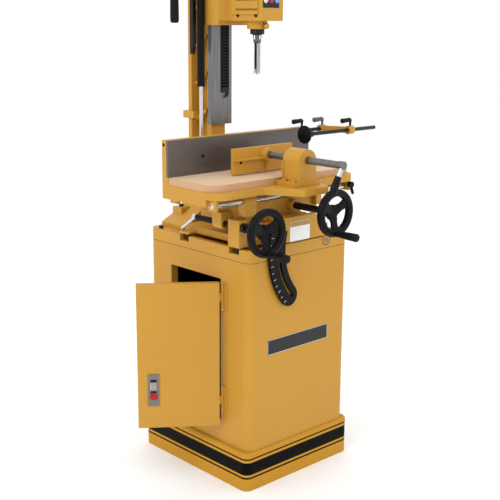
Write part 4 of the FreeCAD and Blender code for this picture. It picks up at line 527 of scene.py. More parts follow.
# Mouldings, shades and prints: name, colour, shade, roughness and grain
MOULDINGS = {
    "black_plastic": ("black plastic", BLACK[0], BLACK[1], 0.45),
    "light_plastic": ("grey plastic", (150, 150, 152), (138, 138, 141), 0.42),
    "paddle_plastic": ("paddle plastic", (156, 154, 150), (144, 142, 138), 0.38),
    # Painted sheen: a lighter grey copy of the black grip, for the arm clamp's lever
    "grip_grey": ("worn grey grip", (96, 96, 99), (82, 82, 86), 0.4),
    "red_plastic": ("red plastic", (184, 30, 36), (168, 24, 30), 0.3, SMOOTH_GRAIN),
    # Painted shadow colour, used under the cover's beads and round the tilt pin
    "groove_shade": ("groove shade", (112, 78, 24), (98, 66, 18), 0.6, SMOOTH_GRAIN),
    "screw_brown": ("screw brown", (56, 24, 18), (40, 16, 12), 0.5, SMOOTH_GRAIN),
    "dot_pale": ("pale print", (222, 214, 210), (212, 204, 200), 0.5, PRINT_GRAIN),
    "dot_red": ("red print", (176, 60, 62), (160, 52, 56), 0.5, PRINT_GRAIN),
    "dot_blue": ("blue print", (120, 160, 214), (106, 148, 204), 0.5, PRINT_GRAIN),
}

finishes = {
    "banded": plinth_paint(),
    "cabinet_paint": cabinet_paint(),
    "beech": beech(),
    "plate_paper": printed_plate(),
}
for make, family in ((enamel, ENAMELS), (machined, METALS), (moulded, MOULDINGS)):
    for finish, values in family.items():
        finishes[finish] = make(*values)

SPECIAL_FINISHES = {
    "plinth": "banded",
    "door_panel": "sheet_paint",
    "cabinet_hinges": "sheet_paint",
    "door_hinge_knuckles": "sheet_paint",
    "latch_paddle": "paddle_plastic",
    "latch_plate": "latch_metal",
    "vise_bolts": "gold_paint",
    "stop_support_rod": "dark_steel",
}


def dress_nodes():
    """Give every CAD node the finish of its slot in the record, or its special one."""
    for part in frame["record"]["subparts"]:
        finish = finishes[SPECIAL_FINISHES.get(part["node"], part["material_slot"])]
        data = nodes[part["node"]].data
        data.materials.clear()
        data.materials.append(finish)


dress_nodes()

# Building blocks for the pieces
FINE_SIDES = 96
CLOSE_SIDES = 48
COARSE_SIDES = 24
BAR_POINTS = 16
SLAB_STEPS = 2
SHARP_ANGLE = math.radians(35)
EASE = 1.2 * MM


def facing(axis):
    """A turn that points a piece's own Z along an axis."""
    return axis.to_track_quat("Z", "Y").to_matrix().to_4x4()


def at(place, axis=Z):
    return Matrix.Translation(place) @ facing(axis)


def on_circle(radius, turn, along):
    return Vector((radius * math.cos(turn), radius * math.sin(turn), along))


def ring_of(mesh, where, radius, along, sides):
    turns = [FULL_TURN * side / sides for side in range(sides)]
    return [mesh.verts.new(where @ on_circle(radius, turn, along)) for turn in turns]


def bridge(mesh, first, second):
    """Faces from one closed ring to the next."""
    count = len(first)
    for item in range(count):
        following = (item + 1) % count
        mesh.faces.new((first[item], first[following], second[following], second[item]))


def cover(mesh, rings):
    """Faces from ring to ring, and one over either end."""
    for first, second in zip(rings, rings[1:]):
        bridge(mesh, first, second)
    mesh.faces.new(reversed(rings[0]))
    mesh.faces.new(rings[-1])


def turned(mesh, profile, where, sides=CLOSE_SIDES):
    """Spin a profile of (radius, distance along) about the axis and close both ends."""
    cover(mesh, [ring_of(mesh, where, radius, along, sides) for radius, along in profile])


def rolled(mesh, profile, where, sides=CLOSE_SIDES):
    """Spin a closed outline of (radius, distance along) into a ring."""
    rings = [ring_of(mesh, where, radius, along, sides) for radius, along in profile]
    for first, second in zip(rings, rings[1:] + rings[:1]):
        bridge(mesh, first, second)


def oval(wide, tall, count, squareness):
    """Points of a rounded outline between a rectangle and an ellipse, whose squareness is 1."""
    points = []
    for item in range(count):
        turn = FULL_TURN * item / count
        across, up = math.cos(turn), math.sin(turn)
        points.append(
            (
                wide * math.copysign(abs(across) ** squareness, across),
                tall * math.copysign(abs(up) ** squareness, up),
            )
        )
    return points


def swept(mesh, stations, side, squareness=1.0, count=BAR_POINTS):
    """A bar through stations of (centre, half width along side, half thickness)."""
    rings = []
    for item, (centre, wide, thick) in enumerate(stations):
        before = stations[max(item - 1, 0)][0]
        after = stations[min(item + 1, len(stations) - 1)][0]
        ahead = (after - before).normalized()
        across = (side - ahead * side.dot(ahead)).normalized()
        up = ahead.cross(across)
        outline = oval(wide, thick, count, squareness)
        rings.append([mesh.verts.new(centre + across * first + up * second) for first, second in outline])
    cover(mesh, rings)


def slab(mesh, low, high, edge):
    """A box with its edges eased."""
    made = bmesh.ops.create_cube(mesh, size=1.0)["verts"]
    bmesh.ops.scale(mesh, vec=high - low, verts=made)
    bmesh.ops.translate(mesh, vec=(low + high) / 2, verts=made)
    edges = list({line for vert in made for line in vert.link_edges})
    bmesh.ops.bevel(mesh, geom=edges, offset=edge, segments=SLAB_STEPS, affect="EDGES")


def publish(name, mesh, finish, body, replaced=()):
    """Make a piece of a mesh, with its finish, its body and the nodes that it stands for."""
    bmesh.ops.recalc_face_normals(mesh, faces=mesh.faces)
    data = bpy.data.meshes.new(name)
    mesh.to_mesh(data)
    mesh.free()
    data.shade_smooth()
    data.set_sharp_from_angle(angle=SHARP_ANGLE)
    data.materials.append(finishes[finish])
    piece = bpy.data.objects.new(name, data)
    scene.collection.objects.link(piece)
    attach(piece, body)
    if replaced:
        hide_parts(*replaced)
    return piece


def thicken(piece, thickness):
    """Give a shell its wall, inward."""
    wall = piece.modifiers.new("wall", "SOLIDIFY")
    wall.thickness = thickness
    wall.offset = -1


def middle_of(node):
    low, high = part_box(node)
    return (Vector(low) + Vector(high)) / 2


# Handwheels
RIM_RADIUS = 57 * MM
RIM_HALF = 10.5 * MM
RIM_FORWARD = 8 * MM
RIM_POINTS = 20
RIM_SQUARENESS = 0.75
HUB_RADIUS = 15 * MM
HUB_DISC = 22 * MM
HUB_DISC_THICK = 9 * MM
HUB_LONG = 34 * MM
HUB_FRONT = 4 * MM
NUT_RADIUS = 9 * MM
STUD_RADIUS = 3.5 * MM
STUD_LONG = 54 * MM
SPOKE_TURNS = (30, 150, 270)
SPOKE_ROOT_HALF = 15 * MM
SPOKE_WAIST_HALF = 12 * MM
SPOKE_END_HALF = 22 * MM
SPOKE_THICK_HALF = 4.5 * MM
SPOKE_SQUARENESS = 0.7
SPOKE_DISH = 12 * MM
SPOKE_DISH_POWER = 1.5

# Stations of a spoke: share of the rim's radius and half width
SPOKE_STATIONS = (
    (0.12, SPOKE_ROOT_HALF),
    (0.3, SPOKE_ROOT_HALF),
    (0.5, SPOKE_WAIST_HALF),
    (0.7, SPOKE_WAIST_HALF * 1.15),
    (0.86, SPOKE_END_HALF * 0.85),
    (0.96, SPOKE_END_HALF),
)

# The hub from its rear end to the nut at its front
HUB_PROFILE = (
    (HUB_RADIUS - EASE, -HUB_LONG),
    (HUB_RADIUS, EASE - HUB_LONG),
    (HUB_RADIUS, -HUB_DISC_THICK),
    (HUB_DISC - EASE, -HUB_DISC_THICK),
    (HUB_DISC, EASE - HUB_DISC_THICK),
    (HUB_DISC, -EASE),
    (HUB_DISC - EASE, 0),
    (HUB_RADIUS, 0),
    (HUB_RADIUS - EASE, -EASE),
    (NUT_RADIUS + EASE, 0),
    (NUT_RADIUS, EASE),
    (NUT_RADIUS, HUB_FRONT - EASE),
    (NUT_RADIUS - EASE, HUB_FRONT),
    (NUT_RADIUS * HALF, HUB_FRONT),
    (NUT_RADIUS * HALF - EASE, HUB_FRONT - EASE),
)
STUD_PROFILE = ((STUD_RADIUS, RIM_FORWARD), (STUD_RADIUS, RIM_FORWARD + RIM_HALF + STUD_LONG))


def handwheel(name, node, body):
    """Rim, hub with its disc and nut, three dished spokes and the grip's stud."""
    low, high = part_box(node)
    centre = Vector(((low.x + high.x) / 2, high.y - HUB_LONG, (low.z + high.z) / 2))
    where = Matrix.Translation(centre) @ Matrix.Rotation(QUARTER_TURN, 4, "X")
    mesh = bmesh.new()
    outline = oval(RIM_HALF, RIM_HALF, RIM_POINTS, RIM_SQUARENESS)
    rolled(mesh, [(RIM_RADIUS + across, RIM_FORWARD + up) for across, up in outline], where, FINE_SIDES)
    turned(mesh, HUB_PROFILE, where)
    for turn in SPOKE_TURNS:
        spin = Matrix.Rotation(math.radians(turn), 4, "Z")
        stations = []
        for share, half in SPOKE_STATIONS:
            level = RIM_FORWARD - SPOKE_DISH * (1 - share) ** SPOKE_DISH_POWER
            stations.append((where @ spin @ Vector((RIM_RADIUS * share, 0, level)), half, SPOKE_THICK_HALF))
        side = (where @ spin).to_3x3() @ Y
        swept(mesh, stations, side, SPOKE_SQUARENESS, RIM_POINTS)
    stud = where @ Matrix.Translation((0, -RIM_RADIUS, 0))
    turned(mesh, STUD_PROFILE, stud, COARSE_SIDES)
    publish(name, mesh, "black_paint", body, [node])


# Turned handles: shares of the half width and of the length
WHEEL_GRIP_SHAPE = (
    (0.62, 0.0),
    (0.78, 0.01),
    (0.8, 0.07),
    (0.72, 0.09),
    (0.74, 0.13),
    (0.86, 0.3),
    (0.93, 0.55),
    (0.97, 0.8),
    (0.98, 0.86),
    (0.93, 0.875),
    (0.93, 0.89),
    (1.0, 0.9),
    (0.99, 0.96),
    (0.9, 0.988),
    (0.72, 1.0),
)
FEED_GRIP_SHAPE = (
    (0.6, 0.0),
    (0.86, 0.012),
    (0.98, 0.04),
    (1.0, 0.1),
    (0.98, 0.3),
    (0.92, 0.55),
    (0.85, 0.8),
    (0.77, 0.93),
    (0.76, 0.94),
    (0.82, 0.96),
    (0.8, 0.99),
    (0.68, 1.0),
)
CRANK_GRIP_SHAPE = (
    (0.6, 0.0),
    (0.8, 0.015),
    (0.84, 0.08),
    (0.92, 0.4),
    (0.99, 0.8),
    (1.0, 0.92),
    (0.92, 0.98),
    (0.7, 1.0),
)


def grip(name, node, body, shape, start, axis, half, long):
    """A turned handle of one shape, from its start along an axis."""
    mesh = bmesh.new()
    turned(mesh, [(half * radius, long * along) for radius, along in shape], at(start, axis))
    publish(name, mesh, "black_plastic", body, [node])


def wheel_grip(name, node, body):
    """A wheel's handle, from the rim towards the operator."""
    low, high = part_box(node)
    middle = middle_of(node)
    start = Vector((middle.x, high.y, middle.z))
    grip(name, node, body, WHEEL_GRIP_SHAPE, start, -Y, (high.x - low.x) / 2, high.y - low.y)


def feed_grip(name, node, body):
    """The long handle of the head's feed lever, from its tip upward."""
    low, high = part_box(node)
    middle = middle_of(node)
    start = Vector((middle.x, middle.y, low.z))
    grip(name, node, body, FEED_GRIP_SHAPE, start, Z, (high.x - low.x) / 2, high.z - low.z)


handwheel("cross_handwheel_casting", "cross_handwheel", "cross_wheel")
handwheel("table_handwheel_casting", "table_handwheel", "table_wheel")
wheel_grip("cross_wheel_handle", "cross_wheel_grip", "cross_grip")
wheel_grip("table_wheel_handle", "table_wheel_grip", "table_grip")
feed_grip("feed_lever_handle", "feed_lever_grip", "feed")

# Clamp levers: a stem that rises, bends and ends in a fat handle
LEVER_STEM = 3.4 * MM
LEVER_ELBOW = 6.2 * MM
LEVER_END = 7.8 * MM
LEVER_DROOP = 1 * MM
LEVER_STRETCH = 1.2
LEVER_TIP = LEVER_STEM * 0.8

# The stem: share of its height and half thickness
LEVER_RISE = (
    (0, LEVER_STEM),
    (0.55, LEVER_STEM),
    (0.8, LEVER_STEM * 1.3),
    (0.95, LEVER_ELBOW * 0.9),
)

# The handle: share of its reach, share of its droop and half thickness
LEVER_HANDLE = (
    (0.4, 0, LEVER_ELBOW * 1.1),
    (0.75, HALF, LEVER_END * 0.92),
    (0.95, 1, LEVER_END),
    (1, 1, LEVER_END * 0.75),
)
LEVER_TIP_HALF = LEVER_END * 0.35


def clamp_lever(name, node, body, finish="black_plastic"):
    low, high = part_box(node)
    across = high.x - LEVER_ELBOW
    tall = high.z - LEVER_END - LEVER_STEM * HALF - low.z
    reach = (across - low.x - LEVER_STEM) * LEVER_STRETCH
    foot = Vector((across, (low.y + high.y) / 2, low.z))
    stations = [(foot + Z * tall * up, half, half) for up, half in LEVER_RISE]
    stations.append((foot + Z * (tall + EASE) - X * LEVER_STEM, LEVER_ELBOW, LEVER_ELBOW))
    for out, droop, half in LEVER_HANDLE:
        stations.append((foot + Z * (tall - LEVER_DROOP * droop) - X * reach * out, half, half))
    tip = foot + Z * (tall - LEVER_DROOP) - X * (reach + LEVER_TIP)
    stations.append((tip, LEVER_TIP_HALF, LEVER_TIP_HALF))
    mesh = bmesh.new()
    swept(mesh, stations, Y)
    publish(name, mesh, finish, body, [node])


clamp_lever("fence_clamp_handle", "fence_clamp_lever", "fence_clamp")
# The arm clamp's grip takes the grey finish, a painted sheen on its black handle
clamp_lever("arm_clamp_handle", "arm_clamp_lever", "arm_clamp", "grip_grey")
clamp_lever("stop_clamp_handle", "stop_clamp_lever", "stop_clamp")

# Work stop rod with its knurled disc
STOP_ROD_RADIUS = 6 * MM
STOP_ROD_EASED = STOP_ROD_RADIUS * 0.8
STOP_SLEEVE_RADIUS = 9 * MM
STOP_SLEEVE_LONG = 34 * MM
DISC_THICK = 8 * MM
DISC_EASE = 2 * EASE
KNURLS = 60
KNURL_DEEP = 0.9 * MM


def work_stop():
    low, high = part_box("stop_rod")
    middle = middle_of("stop_rod")
    disc_radius = (high.z - low.z) / 2
    where = at(Vector((low.x, middle.y, middle.z)), X)
    long = high.x - low.x
    sleeve_end = DISC_THICK * HALF + STOP_SLEEVE_LONG
    bar = [
        (STOP_SLEEVE_RADIUS, DISC_THICK * HALF),
        (STOP_SLEEVE_RADIUS, sleeve_end - EASE),
        (STOP_SLEEVE_RADIUS - EASE, sleeve_end),
        (STOP_ROD_RADIUS, sleeve_end),
        (STOP_ROD_RADIUS, long - EASE * 2),
        (STOP_ROD_EASED, long - EASE * HALF),
        (STOP_ROD_RADIUS * HALF, long),
    ]
    mesh = bmesh.new()
    turned(mesh, bar, where)
    publish("stop_bar", mesh, "dark_steel", "work_stop", ["stop_rod"])
    mesh = bmesh.new()
    rings = []
    for inset, along in ((DISC_EASE, 0), (0, EASE), (0, DISC_THICK - EASE), (DISC_EASE, DISC_THICK)):
        ring = []
        for item in range(KNURLS * 2):
            turn = math.pi * item / KNURLS
            radius = disc_radius - inset - KNURL_DEEP * (item % 2)
            ring.append(mesh.verts.new(where @ on_circle(radius, turn, along)))
        rings.append(ring)
    cover(mesh, rings)
    publish("stop_disc", mesh, "black_plastic", "work_stop")


work_stop()

# Vise screw with its crank
SCREW_RADIUS = 10 * MM
SCREW_FRONT = -418 * MM
SCREW_CAP_BACK = -400 * MM
SCREW_CAP_RADIUS = 11.5 * MM
THREAD_START = -398 * MM
THREAD_END = -300 * MM
THREAD_PITCH = 5 * MM
THREAD_DEEP = 0.7 * MM
CRANK_PLANE = -410 * MM
CRANK_LEAN = math.radians(26)
CRANK_ABOVE = 8 * MM
CRANK_GRIP_TOP = 32 * MM
CRANK_REACH = 80 * MM
CRANK_BAR = 5.8 * MM
CRANK_BAR_EASED = CRANK_BAR * 0.9
CRANK_SQUARENESS = 0.55
CRANK_GRIP_RADIUS = 11 * MM
VISE_AXIS_LEVEL = 953 * MM

# One turn of the thread: share of the pitch and share of the depth
THREAD_SHAPE = ((0.5, 0), (0.62, 1), (0.88, 1), (1, 0))


def vise_screw():
    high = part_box("vise_screw")[1]
    start = Vector((middle_of("vise_body").x, SCREW_FRONT, VISE_AXIS_LEVEL))
    profile = [
        (SCREW_CAP_RADIUS - EASE, 0),
        (SCREW_CAP_RADIUS, EASE),
        (SCREW_CAP_RADIUS, SCREW_CAP_BACK - SCREW_FRONT),
        (SCREW_RADIUS, SCREW_CAP_BACK - SCREW_FRONT),
    ]
    for turn in range(round((THREAD_END - THREAD_START) / THREAD_PITCH)):
        along = THREAD_START - SCREW_FRONT + THREAD_PITCH * turn
        for share, depth in THREAD_SHAPE:
            profile.append((SCREW_RADIUS - THREAD_DEEP * depth, along + THREAD_PITCH * share))
    profile.append((SCREW_RADIUS, high.y - SCREW_FRONT))
    mesh = bmesh.new()
    turned(mesh, profile, at(start, Y))
    publish("vise_screw_shaft", mesh, "ground_steel", "jaw_screw", ["vise_screw"])


def vise_crank():
    """The square bar through the screw's cap, hanging a little to the left, and its handle."""
    hang = Vector((math.sin(CRANK_LEAN), 0, math.cos(CRANK_LEAN)))
    axis = Vector((middle_of("vise_body").x, CRANK_PLANE, VISE_AXIS_LEVEL))
    start = axis - hang * CRANK_GRIP_TOP
    stations = [
        (axis + hang * CRANK_ABOVE, CRANK_BAR_EASED, CRANK_BAR_EASED),
        (axis + hang * (CRANK_ABOVE - EASE), CRANK_BAR, CRANK_BAR),
        (axis, CRANK_BAR, CRANK_BAR),
        (start, CRANK_BAR, CRANK_BAR),
    ]
    mesh = bmesh.new()
    swept(mesh, stations, Y, CRANK_SQUARENESS)
    publish("crank_bar", mesh, "bright_steel", "jaw_screw")
    grip(
        "crank_handle", "vise_crank_grip", "crank_grip", CRANK_GRIP_SHAPE, start, -hang, CRANK_GRIP_RADIUS,
        CRANK_REACH - CRANK_GRIP_TOP,
    )


vise_screw()
vise_crank()

# Chisel bushing: a dark collar over a nose that is slotted in every quarter
BUSHING_TOP = 1302 * MM
COLLAR_LOW = 1287 * MM
NOSE_LOW = 1263 * MM
NOSE_RADIUS = 9.6 * MM
NOSE_TOP_RADIUS = 12 * MM
NOSE_WALL = 0.8 * MM
NOSE_WINDOW_LOW = 1273 * MM
NOSE_WINDOW_HIGH = 1285 * MM
QUARTER_SIDES = COARSE_SIDES // 4
QUARTER_WINDOW = (0, QUARTER_SIDES - 1)


def bushing_collar(where, wide):
    profile = [
        (NOSE_RADIUS, COLLAR_LOW),
        (wide - EASE * 2, COLLAR_LOW),
        (wide, COLLAR_LOW + EASE * 2),
        (wide, BUSHING_TOP - EASE),
        (wide - EASE * HALF, BUSHING_TOP),
        (NOSE_RADIUS, BUSHING_TOP),
    ]
    mesh = bmesh.new()
    turned(mesh, profile, where)
    publish("bushing_collar", mesh, "dark_steel", "head", ["chisel_bushing"])


def bushing_nose(where):
    mesh = bmesh.new()
    rings = []
    for level in (NOSE_LOW, NOSE_WINDOW_LOW, NOSE_WINDOW_HIGH, COLLAR_LOW):
        share = (level - NOSE_LOW) / (COLLAR_LOW - NOSE_LOW)
        radius = NOSE_RADIUS + (NOSE_TOP_RADIUS - NOSE_RADIUS) * share
        rings.append(ring_of(mesh, where, radius, level, COARSE_SIDES))
    slotted_row = 1
    for row, (first, second) in enumerate(zip(rings, rings[1:])):
        for item in range(COARSE_SIDES):
            if row == slotted_row and item % QUARTER_SIDES in QUARTER_WINDOW:
                continue
            following = (item + 1) % COARSE_SIDES
            mesh.faces.new((first[item], first[following], second[following], second[item]))
    nose = publish("bushing_nose", mesh, "nose_steel", "head")
    thicken(nose, NOSE_WALL)


def chisel_bushing():
    middle = middle_of("chisel_bushing")
    low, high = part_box("chisel_bushing")
    where = at(Vector((middle.x, middle.y, 0)))
    bushing_collar(where, (high.x - low.x) / 2)
    bushing_nose(where)


chisel_bushing()

# Hollow chisel: a square tube with a long window on its left and four points below
CHISEL_HALF = 6.35 * MM
CHISEL_WALL = 1.1 * MM
CHISEL_TOP = 1266 * MM
CHISEL_BOTTOM = 1175 * MM
CHISEL_POINT = 4 * MM
WINDOW_LOW = 1190 * MM
WINDOW_HIGH = 1263 * MM
WINDOW_HALF = 4.3 * MM
SQUARE_SIDES = 4
SIDE_STEPS = (-CHISEL_HALF, -WINDOW_HALF, WINDOW_HALF)


def chisel():
    middle = middle_of("hollow_chisel")
    mesh = bmesh.new()
    corners = []
    for side in range(SQUARE_SIDES):
        turn = Matrix.Rotation(QUARTER_TURN * side, 3, "Z")
        corners += [turn @ Vector((-CHISEL_HALF, -along, 0)) for along in SIDE_STEPS]
    rows = []
    for level in (CHISEL_BOTTOM + CHISEL_POINT, WINDOW_LOW, WINDOW_HIGH, CHISEL_TOP):
        rows.append([mesh.verts.new(Vector((middle.x, middle.y, level)) + corner) for corner in corners])
    window_row, window_side = 1, 1
    for row, (first, second) in enumerate(zip(rows, rows[1:])):
        for item in range(len(corners)):
            if row == window_row and item == window_side:
                continue
            following = (item + 1) % len(corners)
            mesh.faces.new((first[item], first[following], second[following], second[item]))
    for item in range(0, len(corners), len(SIDE_STEPS)):
        before, corner, after = rows[0][item - 1], rows[0][item], rows[0][item + 1]
        tip = mesh.verts.new(corner.co - Z * CHISEL_POINT)
        mesh.faces.new((corner, after, tip))
        mesh.faces.new((before, corner, tip))
    shell = publish("chisel_shell", mesh, "chisel_steel", "head", ["hollow_chisel"])
    thicken(shell, CHISEL_WALL)


chisel()

# Auger: a flat core wound into two flutes, below a round shank
AUGER_PITCH = 16 * MM
AUGER_STEPS = 14
AUGER_POINTS = 12
AUGER_CORE = 1.5 * MM
AUGER_TIP_SHARE = 0.25
AUGER_SHANK_LOW = 1302 * MM


def auger():
    low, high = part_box("auger_bit")
    middle = middle_of("auger_bit")
    wide = (high.x - low.x) / 2
    steps = round((AUGER_SHANK_LOW - low.z) / AUGER_PITCH * AUGER_STEPS)
    mesh = bmesh.new()
    rings = []
    for step in range(steps + 1):
        level = low.z + (AUGER_SHANK_LOW - low.z) * step / steps
        where = Matrix.Translation((middle.x, middle.y, level))
        where = where @ Matrix.Rotation(FULL_TURN * step / AUGER_STEPS, 4, "Z")
        reach = min(1.0, AUGER_TIP_SHARE + step / AUGER_STEPS)
        outline = oval(wide * reach, AUGER_CORE, AUGER_POINTS, 1.0)
        rings.append([mesh.verts.new(where @ Vector((across, up, 0))) for across, up in outline])
    cover(mesh, rings)
    shank = [(wide, AUGER_SHANK_LOW), (wide, high.z)]
    turned(mesh, shank, at(Vector((middle.x, middle.y, 0))), COARSE_SIDES)
    publish("auger_flutes", mesh, "ground_steel", "spindle", ["auger_bit"])


auger()

# Bare plates: cabinet front, tilting base and head
PLATE_PROUD = 0.8 * MM
PLATE_EASE = PLATE_PROUD * 0.3
BORDER_PROUD = PLATE_PROUD * 1.25
BORDER_WIDE = 2 * MM
TILT_FACE = -236 * MM
HEAD_FACE = -103 * MM

# Plates: piece, body, finish, border finish, left and right, bottom and top, face and slot
PLATES = (
    (
        "cabinet_plate", "stand", "plate_black", "plate_silver",
        (-131 * MM, 118 * MM), (395 * MM, 440 * MM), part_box("cabinet")[0].y, "black_paint",
    ),
    (
        "tilt_plate", "tilt_base", "plate_paper", "plate_silver",
        (-53 * MM, 30 * MM), (716 * MM, 775 * MM), TILT_FACE, "light_plastic",
    ),
    (
        "head_plate", "head", "plate_black", "plate_black",
        (-38 * MM, 25 * MM), (1361 * MM, 1450 * MM), HEAD_FACE, "black_paint",
    ),
)


def bare_plate(name, body, finish, border_finish, sides, levels, face, slot):
    """A thin plate on a front face, with a narrow border that stands a little proud."""
    left, right = sides
    low, high = levels
    mesh = bmesh.new()
    slab(mesh, Vector((left, face - PLATE_PROUD, low)), Vector((right, face, high)), PLATE_EASE)
    publish(name, mesh, finish, body)
    mesh = bmesh.new()
    front = face - BORDER_PROUD
    for first, second in (
        (Vector((left, front, low)), Vector((right, face, low + BORDER_WIDE))),
        (Vector((left, front, high - BORDER_WIDE)), Vector((right, face, high))),
        (Vector((left, front, low)), Vector((left + BORDER_WIDE, face, high))),
        (Vector((right - BORDER_WIDE, front, low)), Vector((right, face, high))),
    ):
        slab(mesh, first, second, PLATE_EASE)
    publish(name + "_border", mesh, border_finish, body)


for plate in PLATES:
    bare_plate(*plate)

# Low round heads: shares of the radius and of the height
DOME_SHAPE = ((1, 0), (1, 0.5), (0.86, 0.85), (0.55, 1))


def dome(name, body, place, axis, radius, tall, finish, sides=COARSE_SIDES):
    """A low button head with a rounded edge."""
    mesh = bmesh.new()
    turned(mesh, [(radius * out, tall * up) for out, up in DOME_SHAPE], at(Vector(place), axis), sides)
    publish(name, mesh, finish, body)


# Dots on the head's plate: place across and finish
HEAD_DOTS = ((-27 * MM, "dot_pale"), (-5 * MM, "dot_red"), (17 * MM, "dot_blue"))
DOT_LEVEL = 1382 * MM
DOT_RADIUS = 8.5 * MM
DOT_TALL = 0.6 * MM
for number, (across, finish) in enumerate(HEAD_DOTS):
    dome(
        f"head_dot_{number}", "head", (across, HEAD_FACE - PLATE_PROUD, DOT_LEVEL), -Y, DOT_RADIUS, DOT_TALL,
        finish, CLOSE_SIDES,
    )

# Screws of the head's cover
HEAD_LEFT = -41 * MM
COVER_SCREW_DEPTHS = (-4 * MM, -79 * MM)
COVER_SCREW_LEVELS = (1341 * MM, 1565 * MM)
COVER_SCREW_RADIUS = 6 * MM
COVER_SCREW_TALL = 3 * MM
cover_screws = [(HEAD_LEFT, deep, level) for level in COVER_SCREW_LEVELS for deep in COVER_SCREW_DEPTHS]
for number, place in enumerate(cover_screws):
    dome(
        f"cover_screw_{number}", "head", place, -X, COVER_SCREW_RADIUS, COVER_SCREW_TALL, "screw_brown",
    )

# Raised lines along the lower part of the head's cover, each with a painted shadow line below
BEAD_HALF = 1.6 * MM
BEAD_EASE = BEAD_HALF * HALF
BEAD_LEVELS = (1357 * MM, 1384 * MM)
BEAD_BACK = 4 * MM
BEAD_FRONT = -88 * MM
SHADOW_PROUD = BEAD_HALF * HALF
SHADOW_BELOW = BEAD_HALF * 1.8
SHADOW_EASE = BEAD_HALF * 0.2


def cover_lines(name, finish, proud, below, above, ease):
    """A thin line along the cover at every bead, between two distances from the bead's middle."""
    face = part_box("head_cover")[0].x
    mesh = bmesh.new()
    for level in BEAD_LEVELS:
        low = Vector((face - proud, BEAD_FRONT, level - below))
        high = Vector((face, BEAD_BACK, level + above))
        slab(mesh, low, high, ease)
    publish(name, mesh, finish, "head")


cover_lines("cover_beads", "gold_paint", BEAD_HALF, BEAD_HALF, BEAD_HALF, BEAD_EASE)
# Painted shadow: a dark line under each bead
cover_lines("cover_bead_shadows", "groove_shade", SHADOW_PROUD, SHADOW_BELOW, -BEAD_HALF, SHADOW_EASE)

# Brass thumb screw that holds the chisel in the quill boss
SET_SCREW_PLACE = Vector((0, -69 * MM, 1311 * MM))
SET_SCREW_PROFILE = (
    (4 * MM, 0),
    (4 * MM, 4 * MM),
    (8 * MM, 4.5 * MM),
    (8.6 * MM, 6 * MM),
    (8.6 * MM, 12 * MM),
    (7.6 * MM, 14 * MM),
    (4.5 * MM, 14.6 * MM),
)


def set_screw():
    mesh = bmesh.new()
    turned(mesh, SET_SCREW_PROFILE, at(SET_SCREW_PLACE, -Y))
    publish("chisel_set_screw", mesh, "brass", "head")


set_screw()

# Shadow ring round the front tilt pin
MARK_PROUD = 0.3 * MM
PIN_RING = 13 * MM
PIN_RING_WIDE = 2.2 * MM


def pin_ring():
    middle = middle_of("tilt_pins")
    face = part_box("tilt_pins")[0].y
    outline = [
        (PIN_RING, 0),
        (PIN_RING + PIN_RING_WIDE, 0),
        (PIN_RING + PIN_RING_WIDE, MARK_PROUD),
        (PIN_RING, MARK_PROUD),
    ]
    mesh = bmesh.new()
    rolled(mesh, outline, at(Vector((middle.x, face, middle.z)), -Y))
    publish("tilt_pin_ring", mesh, "groove_shade", "stand")


pin_ring()

# Door latch: dark slots over the paddle and the button, and a square cap on the button
HINGE_LINE = Vector((-209.4 * MM, -125.4 * MM, 0))
DOOR_TURN = math.radians(143)
LATCH_MIDDLE = 198 * MM
LATCH_FACE = 16.8 * MM
LATCH_SLOTS = ((318.5 * MM, 325 * MM), (285.5 * MM, 290.5 * MM))
SLOT_HALF = 9 * MM
SLOT_EASE = MARK_PROUD * HALF
CAP_HALF = 9.5 * MM
CAP_LOW = 266 * MM
CAP_HIGH = 284 * MM
CAP_BACK = 3 * MM
CAP_FRONT = 6 * MM


def on_door(mesh):
    """Turn a mesh built in the door's own frame to where the door stands open."""
    swing = Matrix.Translation(HINGE_LINE) @ Matrix.Rotation(DOOR_TURN, 4, "Z")
    bmesh.ops.transform(mesh, matrix=swing, verts=mesh.verts)


def latch_slots():
    mesh = bmesh.new()
    for low, high in LATCH_SLOTS:
        first = Vector((LATCH_MIDDLE - SLOT_HALF, LATCH_FACE - MARK_PROUD, low))
        second = Vector((LATCH_MIDDLE + SLOT_HALF, LATCH_FACE + MARK_PROUD, high))
        slab(mesh, first, second, SLOT_EASE)
    on_door(mesh)
    publish("latch_slots", mesh, "black_plastic", "door")


def latch_cap():
    mesh = bmesh.new()
    first = Vector((LATCH_MIDDLE - CAP_HALF, LATCH_FACE + CAP_BACK, CAP_LOW))
    second = Vector((LATCH_MIDDLE + CAP_HALF, LATCH_FACE + CAP_FRONT, CAP_HIGH))
    slab(mesh, first, second, EASE)
    on_door(mesh)
    publish("latch_cap", mesh, "red_plastic", "door_button", ["latch_button"])


latch_slots()
latch_cap()

# Ends of the hinge pins
HINGE_STARTS = (215 * MM, 525 * MM)
HINGE_TALL = 75 * MM
PIN_END_RADIUS = 3.6 * MM
PIN_END_TALL = 4 * MM
for number, start in enumerate(HINGE_STARTS):
    for end, (level, axis) in enumerate(((start + HINGE_TALL, Z), (start, -Z))):
        dome(
            f"hinge_pin_{number}_{end}", "stand", HINGE_LINE + Z * level, axis, PIN_END_RADIUS, PIN_END_TALL,
            "bright_steel",
        )
